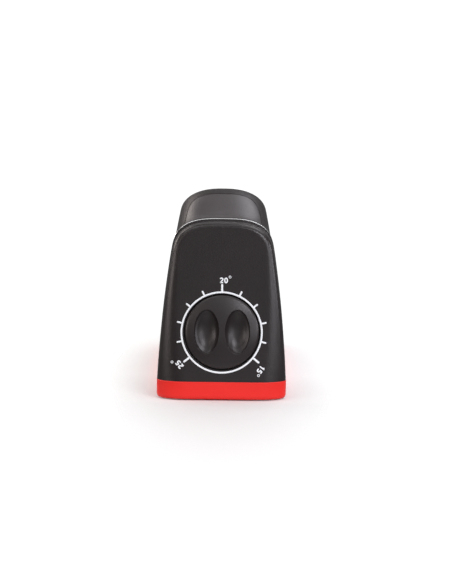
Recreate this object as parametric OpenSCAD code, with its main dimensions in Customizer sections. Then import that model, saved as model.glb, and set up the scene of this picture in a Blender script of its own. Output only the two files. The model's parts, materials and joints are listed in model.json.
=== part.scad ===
// Manual knife sharpener with a dial that sets the sharpening angle.
// Front (dial) towards -Y, +Z up, origin on the table under the middle of the base.

/* [Overall size] */
// Length of the base, front to back
base_l = 200; // [190:1:215]
// Width of the base
base_w = 65.2; // [62:0.2:70]
// Height of the base's upper edge above the table
base_top = 9.5; // [8.5:0.1:11]
// Height of the head's top above the table
head_h = 88.8; // [88:0.2:92]
// Height of the deck with the knife slots
deck_h = 84; // [83:0.5:86]
// Height of the handle's crest
crest_h = 98; // [95:0.2:102]
// Distance of the handle's crest behind the middle
crest_y = 35; // [30:1:42]

/* [Section of the body] */
// Gap by which the body stands inside the base's edge
base_lip = 0.1; // [0.05:0.05:0.6]
// Inward slope of the side walls at the base
side_taper = 0.036; // [0.03:0.001:0.05]
// Bow of the side walls, per millimetre of height
side_bow = 0.000956; // [0.0007:0.00001:0.0011]
// Height over which the shoulders round over to the top
shoulder = 13; // [10:0.5:16]
// Fullness of the shoulder's curve
shoulder_power = 2.6; // [2.2:0.1:3.4]
// Thickness of the walls
wall = 2.5; // [2:0.1:3]
// Width of the seam between the two body halves
seam = 0.1; // [0.05:0.05:0.2]

/* [Front cover] */
// Lean of the face from upright, in degrees
face_lean = 10.5; // [9:0.5:12]
// Depth of the cover from face to trim
cover_depth = 16; // [15:0.5:18]
// Depth of the rounding at the foot of the face
face_edge_d = 9.5; // [7:0.5:12]
// Depth of the rounding at the top of the face
face_edge_d_high = 4.5; // [3:0.5:8]
// Width of the rounding at the foot of the face
face_edge_low = 15; // [10:0.5:17]
// Width of the rounding at the top of the face
face_edge_high = 3.5; // [3:0.5:6]
// Height of the collar round the cover's back
collar_h = 0.8; // [0.5:0.1:1.2]
// Depth of the collar
collar_d = 2; // [1.5:0.1:3]
// Depth of the slope up to the collar
collar_slope = 0.3; // [0.2:0.1:0.6]
// Thickness of the metal trim frame
trim_t = 2; // [1.6:0.1:3]
// Height by which the trim stands proud
trim_proud = 0.3; // [0.3:0.1:0.8]
// Width of the trim frame's rails
trim_rail = 4.5; // [3.5:0.5:6]

/* [Handle] */
// Lean of the rear face from upright, in degrees
rear_lean = 8; // [5:0.5:12]
// Depth over which the rear edge is rounded
rear_edge_d = 26; // [20:1:32]
// Width of the rear rounding at the sides
rear_edge_w = 14; // [10:1:18]
// Fall of the rear rounding at the top
rear_edge_fall = 24; // [18:1:30]
// Length of the hand opening
grip_l = 70; // [64:1:76]
// Height of the hand opening
grip_h = 36; // [30:1:38]
// Height of the hand opening's middle
grip_z = 48; // [46:0.5:52]
// Place of the hand opening's middle along the body
grip_y = 40; // [38:0.5:42]
// Radius of the opening's rounded edges
grip_edge = 5; // [3:0.5:6]
// Fullness of the opening's outline
grip_power = 3; // [2.6:0.1:3.6]
// Border of the inlay at the sides
inlay_border = 3.2; // [2.5:0.1:5]
// Distance of the inlay's upper end ahead of the crest
inlay_back = 13.3; // [10:0.1:16]
// Fullness of the inlay's outline
inlay_power = 7; // [4:0.5:9]
// Thickness of the inlay
inlay_t = 2; // [1.5:0.1:3]
// Depth of the inlay's surface below the body's
inlay_sink = 0.4; // [0.2:0.1:0.8]
// Radius of the pegs that locate the inlay
peg_r = 1.5; // [1.2:0.1:2]
// Length of the pegs under the inlay
peg_l = 4; // [3:0.5:6]
// Distance of the pegs from the middle
peg_x = 8; // [6:0.5:10]
// Distance of the pegs behind the inlay's front end
peg_in = 12; // [8:0.5:16]
// Depth by which the pegs reach into the inlay
peg_bite = 0.8; // [0.5:0.1:1.2]
// Fall of the top from the crest to the rear rounding
tail_fall = 4; // [2:0.5:6]
// Thickness of the walls beside the hollow under the hand opening
spine_wall = 8; // [6:0.5:10]
// Distance of that hollow inside the opening's ends
spine_in = 3; // [2:0.5:6]

/* [Knob] */
// Distance of the knob's axis up the face
knob_up = 25; // [24:0.1:27]
// Radius of the knob
knob_r = 18.6; // [17:0.1:20]
// Gap between the knob and its pocket
knob_gap = 0.5; // [0.4:0.1:1]
// Height of the knob's rim over the face
knob_rim = 1.2; // [0.8:0.1:1.6]
// Height of the knob's middle over the face
knob_dome = 3.4; // [2.4:0.1:4]
// Radius of the knob's front edge
knob_edge = 1.4; // [1:0.1:2]
// Depth of the knob's pocket below the face
pocket_d = 6; // [5:0.5:7]
// Width of a finger dent
dent_w = 12.6; // [10:0.1:13]
// Length of a finger dent
dent_l = 22; // [18:0.5:23]
// Depth of a finger dent
dent_d = 3.6; // [2.5:0.1:4]
// Distance of a finger dent from the knob's middle
dent_x = 7.7; // [7:0.1:8]
// Turn of the knob each way from the middle angle, in degrees
knob_turn = 128.57; // [110:0.01:140]

/* [Angle mechanism] */
// Radius of the knob's shaft
shaft_r = 3; // [2.5:0.1:3.5]
// Length of the shaft inside the knob
shaft_grip = 4; // [3:0.5:4.5]
// Step in radius from the shaft to its flatted neck
neck_step = 1; // [0.8:0.1:1.2]
// Distance of the neck's flat from the axis
neck_flat = 1.2; // [1:0.1:1.6]
// Cross-section radius of the friction ring
ring_tube = 0.9; // [0.7:0.1:1]
// Radius of the cam screw's shank
cam_screw_r = 1; // [0.8:0.1:1.2]
// Radius of the cam screw's head
cam_head_r = 2.4; // [2.2:0.1:3]
// Length of the cam screw
cam_screw_l = 9; // [7:0.5:10]
// Radius of the scroll cam
cam_r = 16; // [15.5:0.5:17]
// Thickness of the scroll cam
cam_t = 4; // [3.5:0.1:5]
// Depth of the scroll groove
groove_d = 2.5; // [2:0.1:2.8]
// Radius of the scroll groove at the middle angle
scroll_r = 10; // [9.5:0.1:10.5]
// Travel of the lifter each way
lift = 3; // [2.5:0.1:3.2]
// Radius of the follower pin
follower_r = 1.5; // [1.2:0.1:1.6]
// Sharpening angle at the middle of the dial, in degrees
angle_mid = 20; // [19:0.5:21]
// Change of the angle at either end of the dial, in degrees
angle_swing = 5; // [4:0.5:5.5]
// Side clearance of pins in their grooves
pin_gap = 0.3; // [0.2:0.05:0.4]
// Clearance between moving parts
move_gap = 0.4; // [0.3:0.05:0.5]
// Radial clearance of running fits
run_fit = 0.05; // [0.03:0.01:0.08]
// Radial clearance of parts that are pushed together
push_fit = 0.02; // [0.01:0.01:0.05]

/* [Sharpening stages] */
// Place of the coarse stage along the body
coarse_y = -47; // [-48:0.5:-46]
// Distance between the two stages
stage_pitch = 26; // [25:0.5:27]
// Depth of the axles below the deck
axle_drop = 29; // [28:0.5:30]
// Radius of the axles
axle_r = 2; // [1.8:0.1:2.5]
// Radius of a sharpening rod
rod_r = 2.2; // [1.8:0.1:2.3]
// Distance of a rod's lower end above the axle
rod_low = 3.5; // [3:0.5:5]
// Distance of a rod's upper end above the axle
rod_top = 22.5; // [20:0.5:23]
// Height of a holder's back above its rods
rod_cap = 1; // [0.5:0.1:1.5]
// Thickness of a holder's back behind the rods' axes
rod_back = 3; // [2.6:0.1:3.4]
// Radius of a holder's hub round the axle
hub_r = 4.6; // [4:0.1:5]
// Half width of a holder's tail
tail_half = 2; // [1.8:0.1:2.4]
// Radius of a holder's eye round its drive pin
eye_r = 2.6; // [2.4:0.1:3]
// Side gap between the holders and their neighbours
holder_gap = 0.6; // [0.4:0.1:0.8]
// Distance of the inner pair of rods from the middle
inner_rod_x = 3; // [2.8:0.1:3.2]
// Distance of the outer pair of rods from the middle
outer_rod_x = 9; // [8.9:0.1:9.2]
// Distance of the drive pins from the axle
pin_arm = 14; // [13:0.5:14.5]
// Radius of the drive pins
pin_r = 1.5; // [1.2:0.1:1.7]
// Length of a drive pin outside the lifter's plates
pin_out = 0.6; // [0.4:0.1:1]
// Width of a knife slot
slot_w = 5.4; // [5:0.1:7]
// Depth of a knife slot's floor below the deck
slot_d = 27; // [25:0.5:30]
// Width of a slot saddle
saddle_w = 14; // [12:0.5:16]
// Depth of a saddle's lower ends below the deck
saddle_d = 37; // [34:0.5:40]
// Height by which a saddle stands proud
saddle_proud = 0.3; // [0.2:0.05:0.5]
// Length of the deck before and behind the saddles
deck_rim = 2; // [1.5:0.1:3]

/* [Frame and fasteners] */
// Distance of the frame's cheeks from the middle
cheek_x = 17; // [16.5:0.1:18]
// Thickness of the frame's cheeks
cheek_t = 2; // [1.6:0.1:2.6]
// Height of the cheeks' ends above the frame's floor
cheek_h = 20; // [16:1:24]
// Distance of the cheeks' front end behind the floor's
cheek_in = 5; // [3:0.5:7]
// Width of the cheeks beyond the axles
cheek_rim = 6; // [5:0.5:8]
// Distance of the cheeks' window inside the axles
window_in = 2; // [1:0.5:4]
// Height of the window above the frame's floor
window_rise = 8; // [6:0.5:10]
// Depth of the window below the axles
window_drop = 12; // [10:0.5:14]
// Length of the axles outside the cheeks
axle_out = 2.2; // [1.8:0.1:3]
// Thickness of an axle clip
clip_t = 0.6; // [0.5:0.1:0.8]
// Depth of an axle's groove for its clip
clip_d = 0.4; // [0.3:0.1:0.6]
// Width of a clip's rim outside the axle
clip_rim = 1.6; // [1.2:0.1:2]
// Half width of a clip's mouth
clip_mouth = 1.3; // [1:0.1:1.4]
// Height of the frame's floor above the table
frame_z = 12; // [11.5:0.5:13]
// Thickness of the frame's floor
frame_t = 2.5; // [2:0.1:3]
// Length of the frame ahead of the coarse axle
frame_ahead = 18; // [16:0.5:20]
// Length of the frame behind the fine axle
frame_behind = 9; // [8:0.5:10]
// Distance of the frame's screws from the middle
frame_screw_x = 13; // [12:0.5:14]
// Distance of the frame's screws inside its ends
frame_screw_in = 5; // [4:0.5:6]
// Radius of the guide posts
post_r = 2.5; // [2:0.1:2.8]
// Distance of the lifter's side plates from the middle
plate_x = 12; // [11.9:0.1:12.4]
// Thickness of the lifter's side plates
plate_t = 2; // [1.6:0.1:2.2]
// Reach of the side plates beyond the axles
plate_reach = 10; // [9:0.5:11]
// Height of the side plates below their slots
plate_rim = 2; // [1.5:0.1:3]
// Half height of the lifter's nose
nose_half = 3.5; // [3:0.1:4]
// Wall of the lifter's bars round the posts
bar_wall = 1; // [0.5:0.1:1.2]
// Height of the lifter's bars
bar_h = 8; // [6:0.5:10]
// Thickness of the base's floor
floor_t = 2.5; // [2:0.1:3]
// Height of the feet under the base
foot_h = 1; // [0.8:0.1:1.5]
// Radius of a foot
foot_r = 5.5; // [4.5:0.5:6.5]
// Distance of the feet inside the base's sides
foot_in_x = 12; // [10:0.5:16]
// Distance of the feet inside the base's ends
foot_in_y = 30; // [20:1:40]
// Depth of a foot's seat in the base
foot_seat = 0.8; // [0.5:0.1:1.2]
// Radius of the base's lower edge
base_round = 2.4; // [1.5:0.1:3]
// Radius of a screw's shank
screw_r = 1.5; // [1.2:0.1:1.8]
// Radius of a screw's head
head_r = 2.8; // [2.4:0.1:3.2]
// Height of a screw's head
head_t = 1.6; // [1.2:0.1:1.8]
// Clearance round a screw's head
head_gap = 0.2; // [0.1:0.05:0.4]
// Depth of the base screws' heads below the base's floor
head_sink = 0.4; // [0.2:0.1:0.6]
// Radius of a screw boss
boss_r = 4; // [3.6:0.1:4.5]
// Depth by which a boss stands in the wall beside it
boss_bite = 0.3; // [0.2:0.1:0.8]
// Length of the base screws
base_screw_l = 16; // [12:1:20]
// Distance of the cover's screws behind its foot
cover_screw_in = 11.5; // [10:0.5:13]
// Distance of the body's screws inside the base's edge
body_screw_in = 8.3; // [7:0.1:10]
// Distance of the body's front screws behind the cavity
leg_screw_in = 7; // [6:0.5:8]
// Distance of the tail's screws from the middle
tail_screw_x = 13; // [10:0.5:16]
// Distance of the cross screws' heads from the middle
cross_head_x = 14; // [12:0.5:16]
// Length of the cross screws
cross_screw_l = 24; // [20:1:26]
// Height of the front cross screw
cross_low_z = 30; // [26:0.5:32]

/* [Hidden] */
$fn = 64;
// Room that a cut reaches past the face it opens
over = 1;
// Half of anything longer or wider than the whole object
far = base_l;
fine_y = coarse_y + stage_pitch;
front_y = -base_l / 2 + base_lip;
rear_y = base_l / 2 - base_lip;
face_slope = tan(face_lean);
rear_slope = -tan(rear_lean);
knob_z = base_top + knob_up * cos(face_lean);
body_y = front_y + cover_depth + trim_t / cos(face_lean);
// The deck starts behind the head's ridge and ends where the handle rises
deck_start = coarse_y - saddle_w / 2 - deck_rim;
deck_end = fine_y + saddle_w / 2 + deck_rim;
axle_z = deck_h - axle_drop;
slot_floor = deck_h - slot_d;
saddle_low = deck_h - saddle_d;
// The cavity leaves room for the fine rear holder at its flattest
angle_max = angle_mid + angle_swing;
cavity_end = fine_y + (rod_top + rod_cap) * sin(angle_max) + rod_back * cos(angle_max) + move_gap;
// Depths along the knob's axis, measured into the body from the face
pocket_r = knob_r + knob_gap;
pocket_floor = pocket_d + wall;
cam_front = pocket_floor + wall + move_gap;
cam_back = cam_front + cam_t;
plate_front = cam_back + move_gap + lift * sin(face_lean);
scroll_rate = lift * cos(face_lean) / knob_turn;
neck_r = shaft_r - neck_step;
// Middles of the handle's bar and tail round the hand opening
bar_mid_z = (grip_z + grip_h / 2 + crest_h) / 2;
tail_mid_y = (grip_y + grip_l / 2 + rear_y + rear_slope * (grip_z - base_top)) / 2;
leg_mid_y = (grip_y - grip_l / 2 + cavity_end) / 2;
inlay_start = cavity_end + wall;
inlay_end = crest_y - inlay_back;
peg_y = inlay_start + peg_in;
spine_half = base_w / 2 - spine_wall;
spine_l = grip_l - 2 * spine_in;
base_screw_z = foot_h + head_t + head_sink;
frame_front = coarse_y - frame_ahead;
frame_rear = fine_y + frame_behind;
post_ys = [coarse_y - stage_pitch / 2, coarse_y + stage_pitch / 2];
bar_half = post_r + run_fit + bar_wall;
lifter_top = axle_z - axle_r - lift - move_gap;
lifter_low = axle_z - pin_arm * cos(angle_max) - lift - pin_r - pin_gap - plate_rim;
inner_half = 2 * inner_rod_x;
axle_end = cheek_x + cheek_t + axle_out;
clip_x = cheek_x + cheek_t + push_fit;
// Steps of curves in the solids
SIDE_STEPS = 6;
SHOULDER_STEPS = 8;
EDGE_STEPS = 6;
RISE_STEPS = 6;
GRIP_STEPS = 28;
INLAY_STEPS = 6;
ROUND_STEPS = 8;
GROOVE_STEPS = 24;
SLOT_STEPS = 4;
// Share of the inlay's height at which its narrow end is cut straight
INLAY_TIP = 0.988;

function mix(a, b, t) = a + (b - a) * t;
function smooth(t) = t * t * (3 - 2 * t);
function face_y(z) = front_y + (z - base_top) * face_slope;

// Half width of the body at a height
function half_width(z) = base_w / 2 - base_lip - side_taper * (z - base_top)
    - side_bow * pow(z - base_top, 2);

// Right half of the arched section up to a top height, from the base up to the middle.
// The sides come in by low at the base and by high at the top.
function half_arch(top, low, high, foot) = concat(
    [for (i = [0:SIDE_STEPS - 1])
        let (z = mix(foot, top - shoulder, i / SIDE_STEPS))
        [half_width(z) - mix(low, high, (z - foot) / (top - foot)), z]],
    [for (i = [0:SHOULDER_STEPS])
        let (
            a = 90 * i / SHOULDER_STEPS,
            z = top - shoulder + shoulder * pow(sin(a), 2 / shoulder_power),
            share = pow(max(cos(a), 0), 2 / shoulder_power)
        )
        [(half_width(z) - mix(low, high, (z - foot) / (top - foot))) * share, z]]
);

// Whole arched section, anticlockwise seen from the front
function arch(top, low = 0, high = 0, foot = base_top) =
    let (half = half_arch(top, low, high, foot), n = len(half))
    concat(half, [for (i = [n - 2:-1:0]) [-half[i][0], half[i][1]]]);

// Ring of points of a section that stands at y and leans by a slope
function ring(section, y, slope) = [for (p = section) [p[0], y + slope * (p[1] - base_top), p[1]]];

// Solid through a row of rings that run anticlockwise seen from the first one.
// The ends of a band are closed between its two edges, those of other rings by one face each.
module loft(rings, band = false) {
    n = len(rings[0]);
    m = len(rings);
    sides = [
        for (k = [0:m - 2])
            for (i = [0:n - 1])
                let (j = (i + 1) % n, a = k * n, b = a + n)
                each [[a + i, a + j, b + i], [a + j, b + j, b + i]]
    ];
    end = band
        ? [for (i = [0:n / 2 - 2]) [i, i + 1, n - 2 - i, n - 1 - i]]
        : [[for (i = [0:n - 1]) i]];
    first = [for (f = end) [for (i = [len(f) - 1:-1:0]) f[i]]];
    last = [for (f = end) [for (i = f) (m - 1) * n + i]];
    polyhedron([for (r = rings) each r], concat(first, sides, last), convexity = 6);
}

// Frame on the face: +Z out of the face along the knob's axis, +Y up the face
module on_face() {
    translate([0, face_y(knob_z), knob_z])
        rotate([90 - face_lean, 0, 0])
            children();
}

// Frame for outlines in the Y-Z plane that are thickened along X from one x to another
module across(x0, x1) {
    translate([x0, 0, 0])
        rotate([90, 0, 90])
            linear_extrude(x1 - x0)
                children();
}

// Corner arc of the base's outline
function corner(cx, cy, rx, ry, from) =
    [for (i = [0:EDGE_STEPS]) let (a = from + 90 * i / EDGE_STEPS) [cx + rx * cos(a), cy + ry * sin(a)]];

// Outline of the base, drawn in by an inset, anticlockwise seen from above
function base_outline(inset) =
    let (
        hw = base_w / 2 - inset,
        hl = base_l / 2 - inset,
        fx = face_edge_low - inset,
        fy = face_edge_d - inset,
        rx = rear_edge_w - inset,
        ry = rear_edge_d - inset
    )
    concat(
        corner(hw - fx, fy - hl, fx, fy, -90),
        corner(hw - rx, hl - ry, rx, ry, 0),
        corner(rx - hw, hl - ry, rx, ry, 90),
        corner(fx - hw, fy - hl, fx, fy, 180)
    );

// Places of the base's screws: into the cover, the body's middle and its tail
base_screw_spots = [
    for (side = [-1, 1])
        each [
            [side * (base_w / 2 - base_lip - wall - boss_r + boss_bite), front_y + cover_screw_in],
            [side * (base_w / 2 - body_screw_in), cavity_end + leg_screw_in],
            [side * tail_screw_x, tail_mid_y]
        ]
];
foot_spots = [
    for (sx = [-1, 1])
        for (sy = [-1, 1])
            [sx * (base_w / 2 - foot_in_x), sy * (base_l / 2 - foot_in_y)]
];
frame_screw_spots = [
    for (side = [-1, 1])
        for (y = [frame_front + frame_screw_in, frame_rear - frame_screw_in])
            [side * frame_screw_x, y]
];
// Places of the cross screws that join the two body halves, as y and z
body_screw_spots = [[leg_mid_y, cross_low_z], [grip_y, bar_mid_z], [tail_mid_y, grip_z]];
cover_screw_spots = [for (p = base_screw_spots) if (p[1] < coarse_y) p];

// Screw that points up from the underside of its head
module screw(length, r = screw_r, head = head_r) {
    bevel = head_t / 3;
    rotate_extrude()
        polygon([
            [0, -head_t], [head - bevel, -head_t], [head, bevel - head_t], [head, 0], [r, 0],
            [r, length], [r / 3, length + r], [0, length + r]
        ]);
}

// Room for a screw, with its head's way out behind it
module screw_hole(length) {
    cylinder(r = screw_r + push_fit, h = length + 2 * screw_r);
    translate([0, 0, -far])
        cylinder(r = head_r + head_gap, h = far);
}

// Base and feet

module base_tray() {
    heights = [
        [base_top, 0],
        for (i = [0:4])
            let (a = 90 * i / 4)
            [foot_h + base_round * (1 - sin(a)), base_round * (1 - cos(a))]
    ];
    color("firebrick")
        difference() {
            union() {
                difference() {
                    loft([for (h = heights) [for (p = base_outline(h[1])) [p[0], p[1], h[0]]]]);
                    translate([0, 0, foot_h + floor_t])
                        linear_extrude(far)
                            polygon(base_outline(base_lip + wall));
                }
                for (p = base_screw_spots)
                    translate([p[0], p[1], foot_h + floor_t / 2])
                        cylinder(r = boss_r, h = base_top - foot_h - floor_t / 2);
                for (p = frame_screw_spots)
                    translate([p[0], p[1], foot_h + floor_t / 2])
                        cylinder(r = boss_r, h = frame_z - foot_h - floor_t / 2);
            }
            for (p = base_screw_spots)
                translate([p[0], p[1], base_screw_z])
                    screw_hole(base_screw_l);
            for (p = frame_screw_spots)
                translate([p[0], p[1], foot_h + floor_t])
                    cylinder(r = screw_r + push_fit, h = far);
            for (p = foot_spots)
                translate([p[0], p[1], 0])
                    cylinder(r = foot_r + push_fit, h = foot_h + foot_seat);
        }
}

module rubber_feet() {
    color("dimgray")
        for (p = foot_spots)
            translate([p[0], p[1], 0])
                rotate_extrude()
                    polygon([
                        [0, 0], [foot_r - foot_h / 2, 0], [foot_r, foot_h / 2],
                        [foot_r, foot_h + foot_seat], [0, foot_h + foot_seat]
                    ]);
}

module base_screws() {
    color("gray")
        for (p = base_screw_spots)
            translate([p[0], p[1], base_screw_z])
                screw(base_screw_l);
}

// Front cover and trim

// Ring of the cover at a turn of its rounded edge, 0 at the face and 90 at the sides, drawn in by an inset
function cover_ring(turn, inset, foot) =
    let (
        share = 1 - sin(turn),
        low = inset + share * (face_edge_low - inset),
        high = inset + share * (face_edge_high - inset)
    )
    [
        for (p = arch(head_h - collar_h - high, low, high + collar_h, foot))
            let (edge = mix(face_edge_d, face_edge_d_high, (p[1] - base_top) / (head_h - base_top)))
            [p[0], face_y(p[1]) + mix(edge, inset, cos(turn)), p[1]]
    ];

module front_cover() {
    collar_y = front_y + cover_depth - collar_d;
    back_out = [
        ring(arch(head_h - collar_h, 0, collar_h), collar_y - collar_slope, face_slope),
        ring(arch(head_h), collar_y, face_slope),
        ring(arch(head_h), front_y + cover_depth, face_slope)
    ];
    hollow_foot = base_top - over;
    back_in = ring(arch(head_h - wall, wall, wall, hollow_foot), front_y + cover_depth + over, face_slope);
    color("#353334")
        difference() {
            union() {
                difference() {
                    loft([for (i = [0:EDGE_STEPS]) cover_ring(90 * i / EDGE_STEPS, 0, base_top), each back_out]);
                    loft([for (a = [0, 30, 60, 90]) cover_ring(a, wall, hollow_foot), back_in]);
                }
                on_face()
                    translate([0, 0, -pocket_floor])
                        cylinder(r = pocket_r + wall, h = pocket_floor - wall / 2);
                on_face()
                    translate([0, 0, -pocket_floor - wall])
                        cylinder(r = shaft_r + wall, h = 2 * wall);
                for (p = cover_screw_spots)
                    translate([p[0], p[1], base_top])
                        cylinder(r = boss_r, h = base_screw_l);
            }
            on_face()
                translate([0, 0, -pocket_d])
                    cylinder(r = pocket_r, h = far);
            on_face()
                translate([0, 0, -far])
                    cylinder(r = shaft_r + run_fit, h = far);
            on_face()
                translate([0, 0, -pocket_d - 2 * ring_tube])
                    cylinder(r = shaft_r + ring_tube + run_fit, h = far);
            for (p = cover_screw_spots)
                translate([p[0], p[1], base_screw_z])
                    screw_hole(base_screw_l);
        }
}

// Section laid flat in the leaning plane of the trim
function leaning(section) = [for (p = section) [p[0], (p[1] - base_top) / cos(face_lean)]];

module chrome_trim() {
    rail = trim_rail - trim_proud;
    color("silver")
        difference() {
            translate([0, front_y + cover_depth, base_top])
                rotate([90 - face_lean, 0, 0])
                    translate([0, 0, -trim_t])
                        linear_extrude(trim_t)
                            difference() {
                                polygon(leaning(arch(head_h + trim_proud, 0, -trim_proud)));
                                polygon(leaning(arch(head_h - rail, rail, rail, base_top - over)));
                            }
            translate([-far, -far, base_top - far])
                cube([2 * far, 2 * far, far]);
        }
}

// Body halves

// Row of rings from the trim over the deck and the handle to the rear face
function body_rings() = concat(
    [for (i = [0:4])
        let (t = i / 4)
        ring(arch(mix(head_h, deck_h, smooth(t))), mix(body_y, deck_start, t), mix(face_slope, 0, t))],
    [for (i = [0:RISE_STEPS])
        let (t = i / RISE_STEPS)
        ring(arch(rise_top(t)), mix(deck_end, crest_y, t), 0)],
    [for (i = [1:2])
        let (t = i / 3)
        ring(arch(crest_h - tail_fall * t * t), mix(crest_y, rear_y - rear_edge_d, t), rear_slope * t)],
    [for (i = [0:EDGE_STEPS])
        let (a = 90 - 90 * i / EDGE_STEPS, share = 1 - sin(a), inset = share * rear_edge_w)
        ring(
            arch(crest_h - tail_fall - share * rear_edge_fall, inset, inset),
            rear_y - rear_edge_d * (1 - cos(a)),
            rear_slope
        )]
);

// Height of the handle's rising top at a share of the way from deck to crest
function rise_top(t) = mix(deck_h, crest_h, smooth(t));

// Ring of the hand opening at a turn of its rounded edge, 0 inside and 90 at the body's side
function grip_ring(side, turn, x = undef) = [
    for (i = [0:GRIP_STEPS - 1])
        let (
            a = 360 * i / GRIP_STEPS,
            out = grip_edge * (1 - cos(turn)),
            c = sign(cos(a)) * pow(abs(cos(a)), 2 / grip_power),
            s = sign(sin(a)) * pow(abs(sin(a)), 2 / grip_power),
            z = grip_z + (grip_h / 2 + out) * s
        )
        [
            is_undef(x) ? side * (half_width(z) - grip_edge * (1 - sin(turn))) : side * x,
            grip_y - (grip_l / 2 + out) * c,
            z
        ]
];

module hand_opening() {
    outside = base_w / 2 + over;
    loft(concat(
        [grip_ring(-1, 90, outside)],
        [for (a = [90, 60, 30, 0]) grip_ring(-1, a)],
        [for (a = [0, 30, 60, 90]) grip_ring(1, a)],
        [grip_ring(1, 90, outside)]
    ));
}

// Height of the rounded top of a section at a distance from the middle
function top_z(x, top) =
    let (share = min(abs(x) / half_width(top - shoulder / 5), 1))
    top - shoulder + shoulder * pow(1 - pow(share, shoulder_power), 1 / shoulder_power);

// Share of the rise at a place along the body
function rise_share(y) = (y - deck_end) / (crest_y - deck_end);

// Ring of the inlay at a share of the rise, from under it to a height over its surface
function inlay_ring(t, under, above, gap) =
    let (
        top = rise_top(t),
        climb = INLAY_TIP * min((top - deck_h) / (rise_top(rise_share(inlay_end)) - deck_h), 1),
        wide = (half_width(top) - inlay_border) * pow(1 - pow(climb, inlay_power), 1 / inlay_power) + gap,
        n = INLAY_STEPS,
        y = mix(deck_end, crest_y, t)
    )
    concat(
        [for (i = [n:-1:-n]) let (x = wide * i / n) [x, y, top_z(x, top) + above]],
        [for (i = [-n:n]) let (x = wide * i / n) [x, y, top_z(x, top) - under]]
    );

// Slab that follows the rising top of the handle
module inlay_slab(under, above, gap) {
    first = rise_share(inlay_start - gap);
    last = rise_share(inlay_end + gap);
    loft([
        for (i = [0:INLAY_STEPS])
            inlay_ring(mix(first, last, 1 - pow(1 - i / INLAY_STEPS, 2)), under, above, gap)
    ], band = true);
}

// Pegs under the inlay, with a clearance all round
module inlay_pegs(gap) {
    low = rise_top(rise_share(peg_y)) - inlay_sink - inlay_t - peg_l - gap;
    for (side = [-1, 1])
        translate([side * peg_x, peg_y, low])
            cylinder(r = peg_r + gap, h = peg_l + peg_bite + gap);
}

module body_shell() {
    difference() {
        loft(body_rings());
        loft([
            ring(arch(deck_h - wall, wall, wall, base_top - over), body_y - over, face_slope),
            ring(arch(deck_h - wall, wall, wall, base_top - over), cavity_end, 0)
        ]);
        hand_opening();
        for (y = [coarse_y, fine_y])
            translate([-far, y - saddle_w / 2 - push_fit, saddle_low - push_fit])
                cube([2 * far, saddle_w + 2 * push_fit, far]);
        translate([-spine_half, grip_y - spine_l / 2, base_top - over])
            cube([2 * spine_half, spine_l, grip_z - grip_h / 2 - 2 * wall - base_top + over]);
        inlay_slab(inlay_t + inlay_sink, over, push_fit);
        inlay_pegs(push_fit);
        for (p = base_screw_spots)
            translate([p[0], p[1], base_screw_z])
                screw_hole(base_screw_l);
        for (p = body_screw_spots)
            translate([-cross_head_x, p[0], p[1]])
                rotate([0, 90, 0])
                    screw_hole(cross_screw_l);
    }
}

// One half of the body, on the side that the sign names
module body_half(side) {
    color("#2f2d2e")
        intersection() {
            body_shell();
            translate([side > 0 ? seam / 2 : -far - seam / 2, -far, 0])
                cube([far, 2 * far, far]);
        }
}

module body_left() {
    body_half(-1);
}

module body_right() {
    body_half(1);
}

module body_screws() {
    color("gray")
        for (p = body_screw_spots)
            translate([-cross_head_x, p[0], p[1]])
                rotate([0, 90, 0])
                    screw(cross_screw_l);
}

module grip_inlay() {
    color("#6a6668")
        union() {
            inlay_slab(inlay_t + inlay_sink - push_fit, -inlay_sink, 0);
            inlay_pegs(0);
        }
}

// Slot saddles

// Outline of a knife slot in the Y-Z plane, flared at the deck
module slot_outline(y) {
    half = slot_w / 2;
    translate([y, slot_floor + half])
        circle(r = half);
    translate([y - half, slot_floor + half])
        square([slot_w, far]);
    polygon([
        [y - half, deck_h - wall], [y + half, deck_h - wall],
        [y + half + wall, deck_h + over], [y - half - wall, deck_h + over]
    ]);
}

module saddle(y) {
    color("#3c3a3b")
        difference() {
            translate([0, y + saddle_w / 2, 0])
                rotate([90, 0, 0])
                    linear_extrude(saddle_w)
                        difference() {
                            polygon(arch(deck_h + saddle_proud, -saddle_proud, -saddle_proud));
                            polygon(arch(deck_h - wall, wall, wall, base_top - over));
                        }
            translate([-far, -far, saddle_low - far])
                cube([2 * far, 2 * far, far]);
            across(-far, far)
                slot_outline(y);
        }
}

module coarse_saddle() {
    saddle(coarse_y);
}

module fine_saddle() {
    saddle(fine_y);
}

// Knob and scroll cam

// Height of the knob's domed front at a distance from its axis
function knob_front(r) = knob_rim + (knob_dome - knob_rim) * (1 - pow(r / (knob_r - knob_edge), 2));

module angle_knob() {
    back = move_gap - pocket_d;
    // Fall of the edge's middle below its corner
    bulge = (1 - cos(45)) * knob_edge;
    // Arc radii of the dome and of the dents across and along
    rise = knob_dome - knob_rim;
    dome_r = (pow(knob_r - knob_edge, 2) + pow(rise, 2)) / (2 * rise);
    dent_b = (pow(dent_w / 2, 2) + pow(dent_d, 2)) / (2 * dent_d);
    dent_a = dent_l / dent_w * dent_b;
    color("#3c3839")
        on_face()
            difference() {
                rotate_extrude()
                    intersection() {
                        polygon([
                            [0, back], [knob_r, back], [knob_r, knob_rim - knob_edge],
                            [knob_r - bulge, knob_rim - bulge],
                            [knob_r - knob_edge, knob_rim], [knob_r - knob_edge, knob_dome], [0, knob_dome]
                        ]);
                        translate([0, knob_dome - dome_r])
                            circle(r = dome_r, $fn = 360);
                    }
                for (side = [-1, 1])
                    translate([side * dent_x, 0, knob_front(dent_x) - dent_d + dent_b])
                        loft([for (a = [80:-20:-80]) [for (b = [0:18:342])
                            [dent_b * cos(a) * cos(b), -dent_a * sin(a), dent_b * cos(a) * sin(b)]]]);
                translate([0, 0, back - over])
                    cylinder(r = shaft_r + push_fit, h = shaft_grip + over);
            }
}

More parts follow.
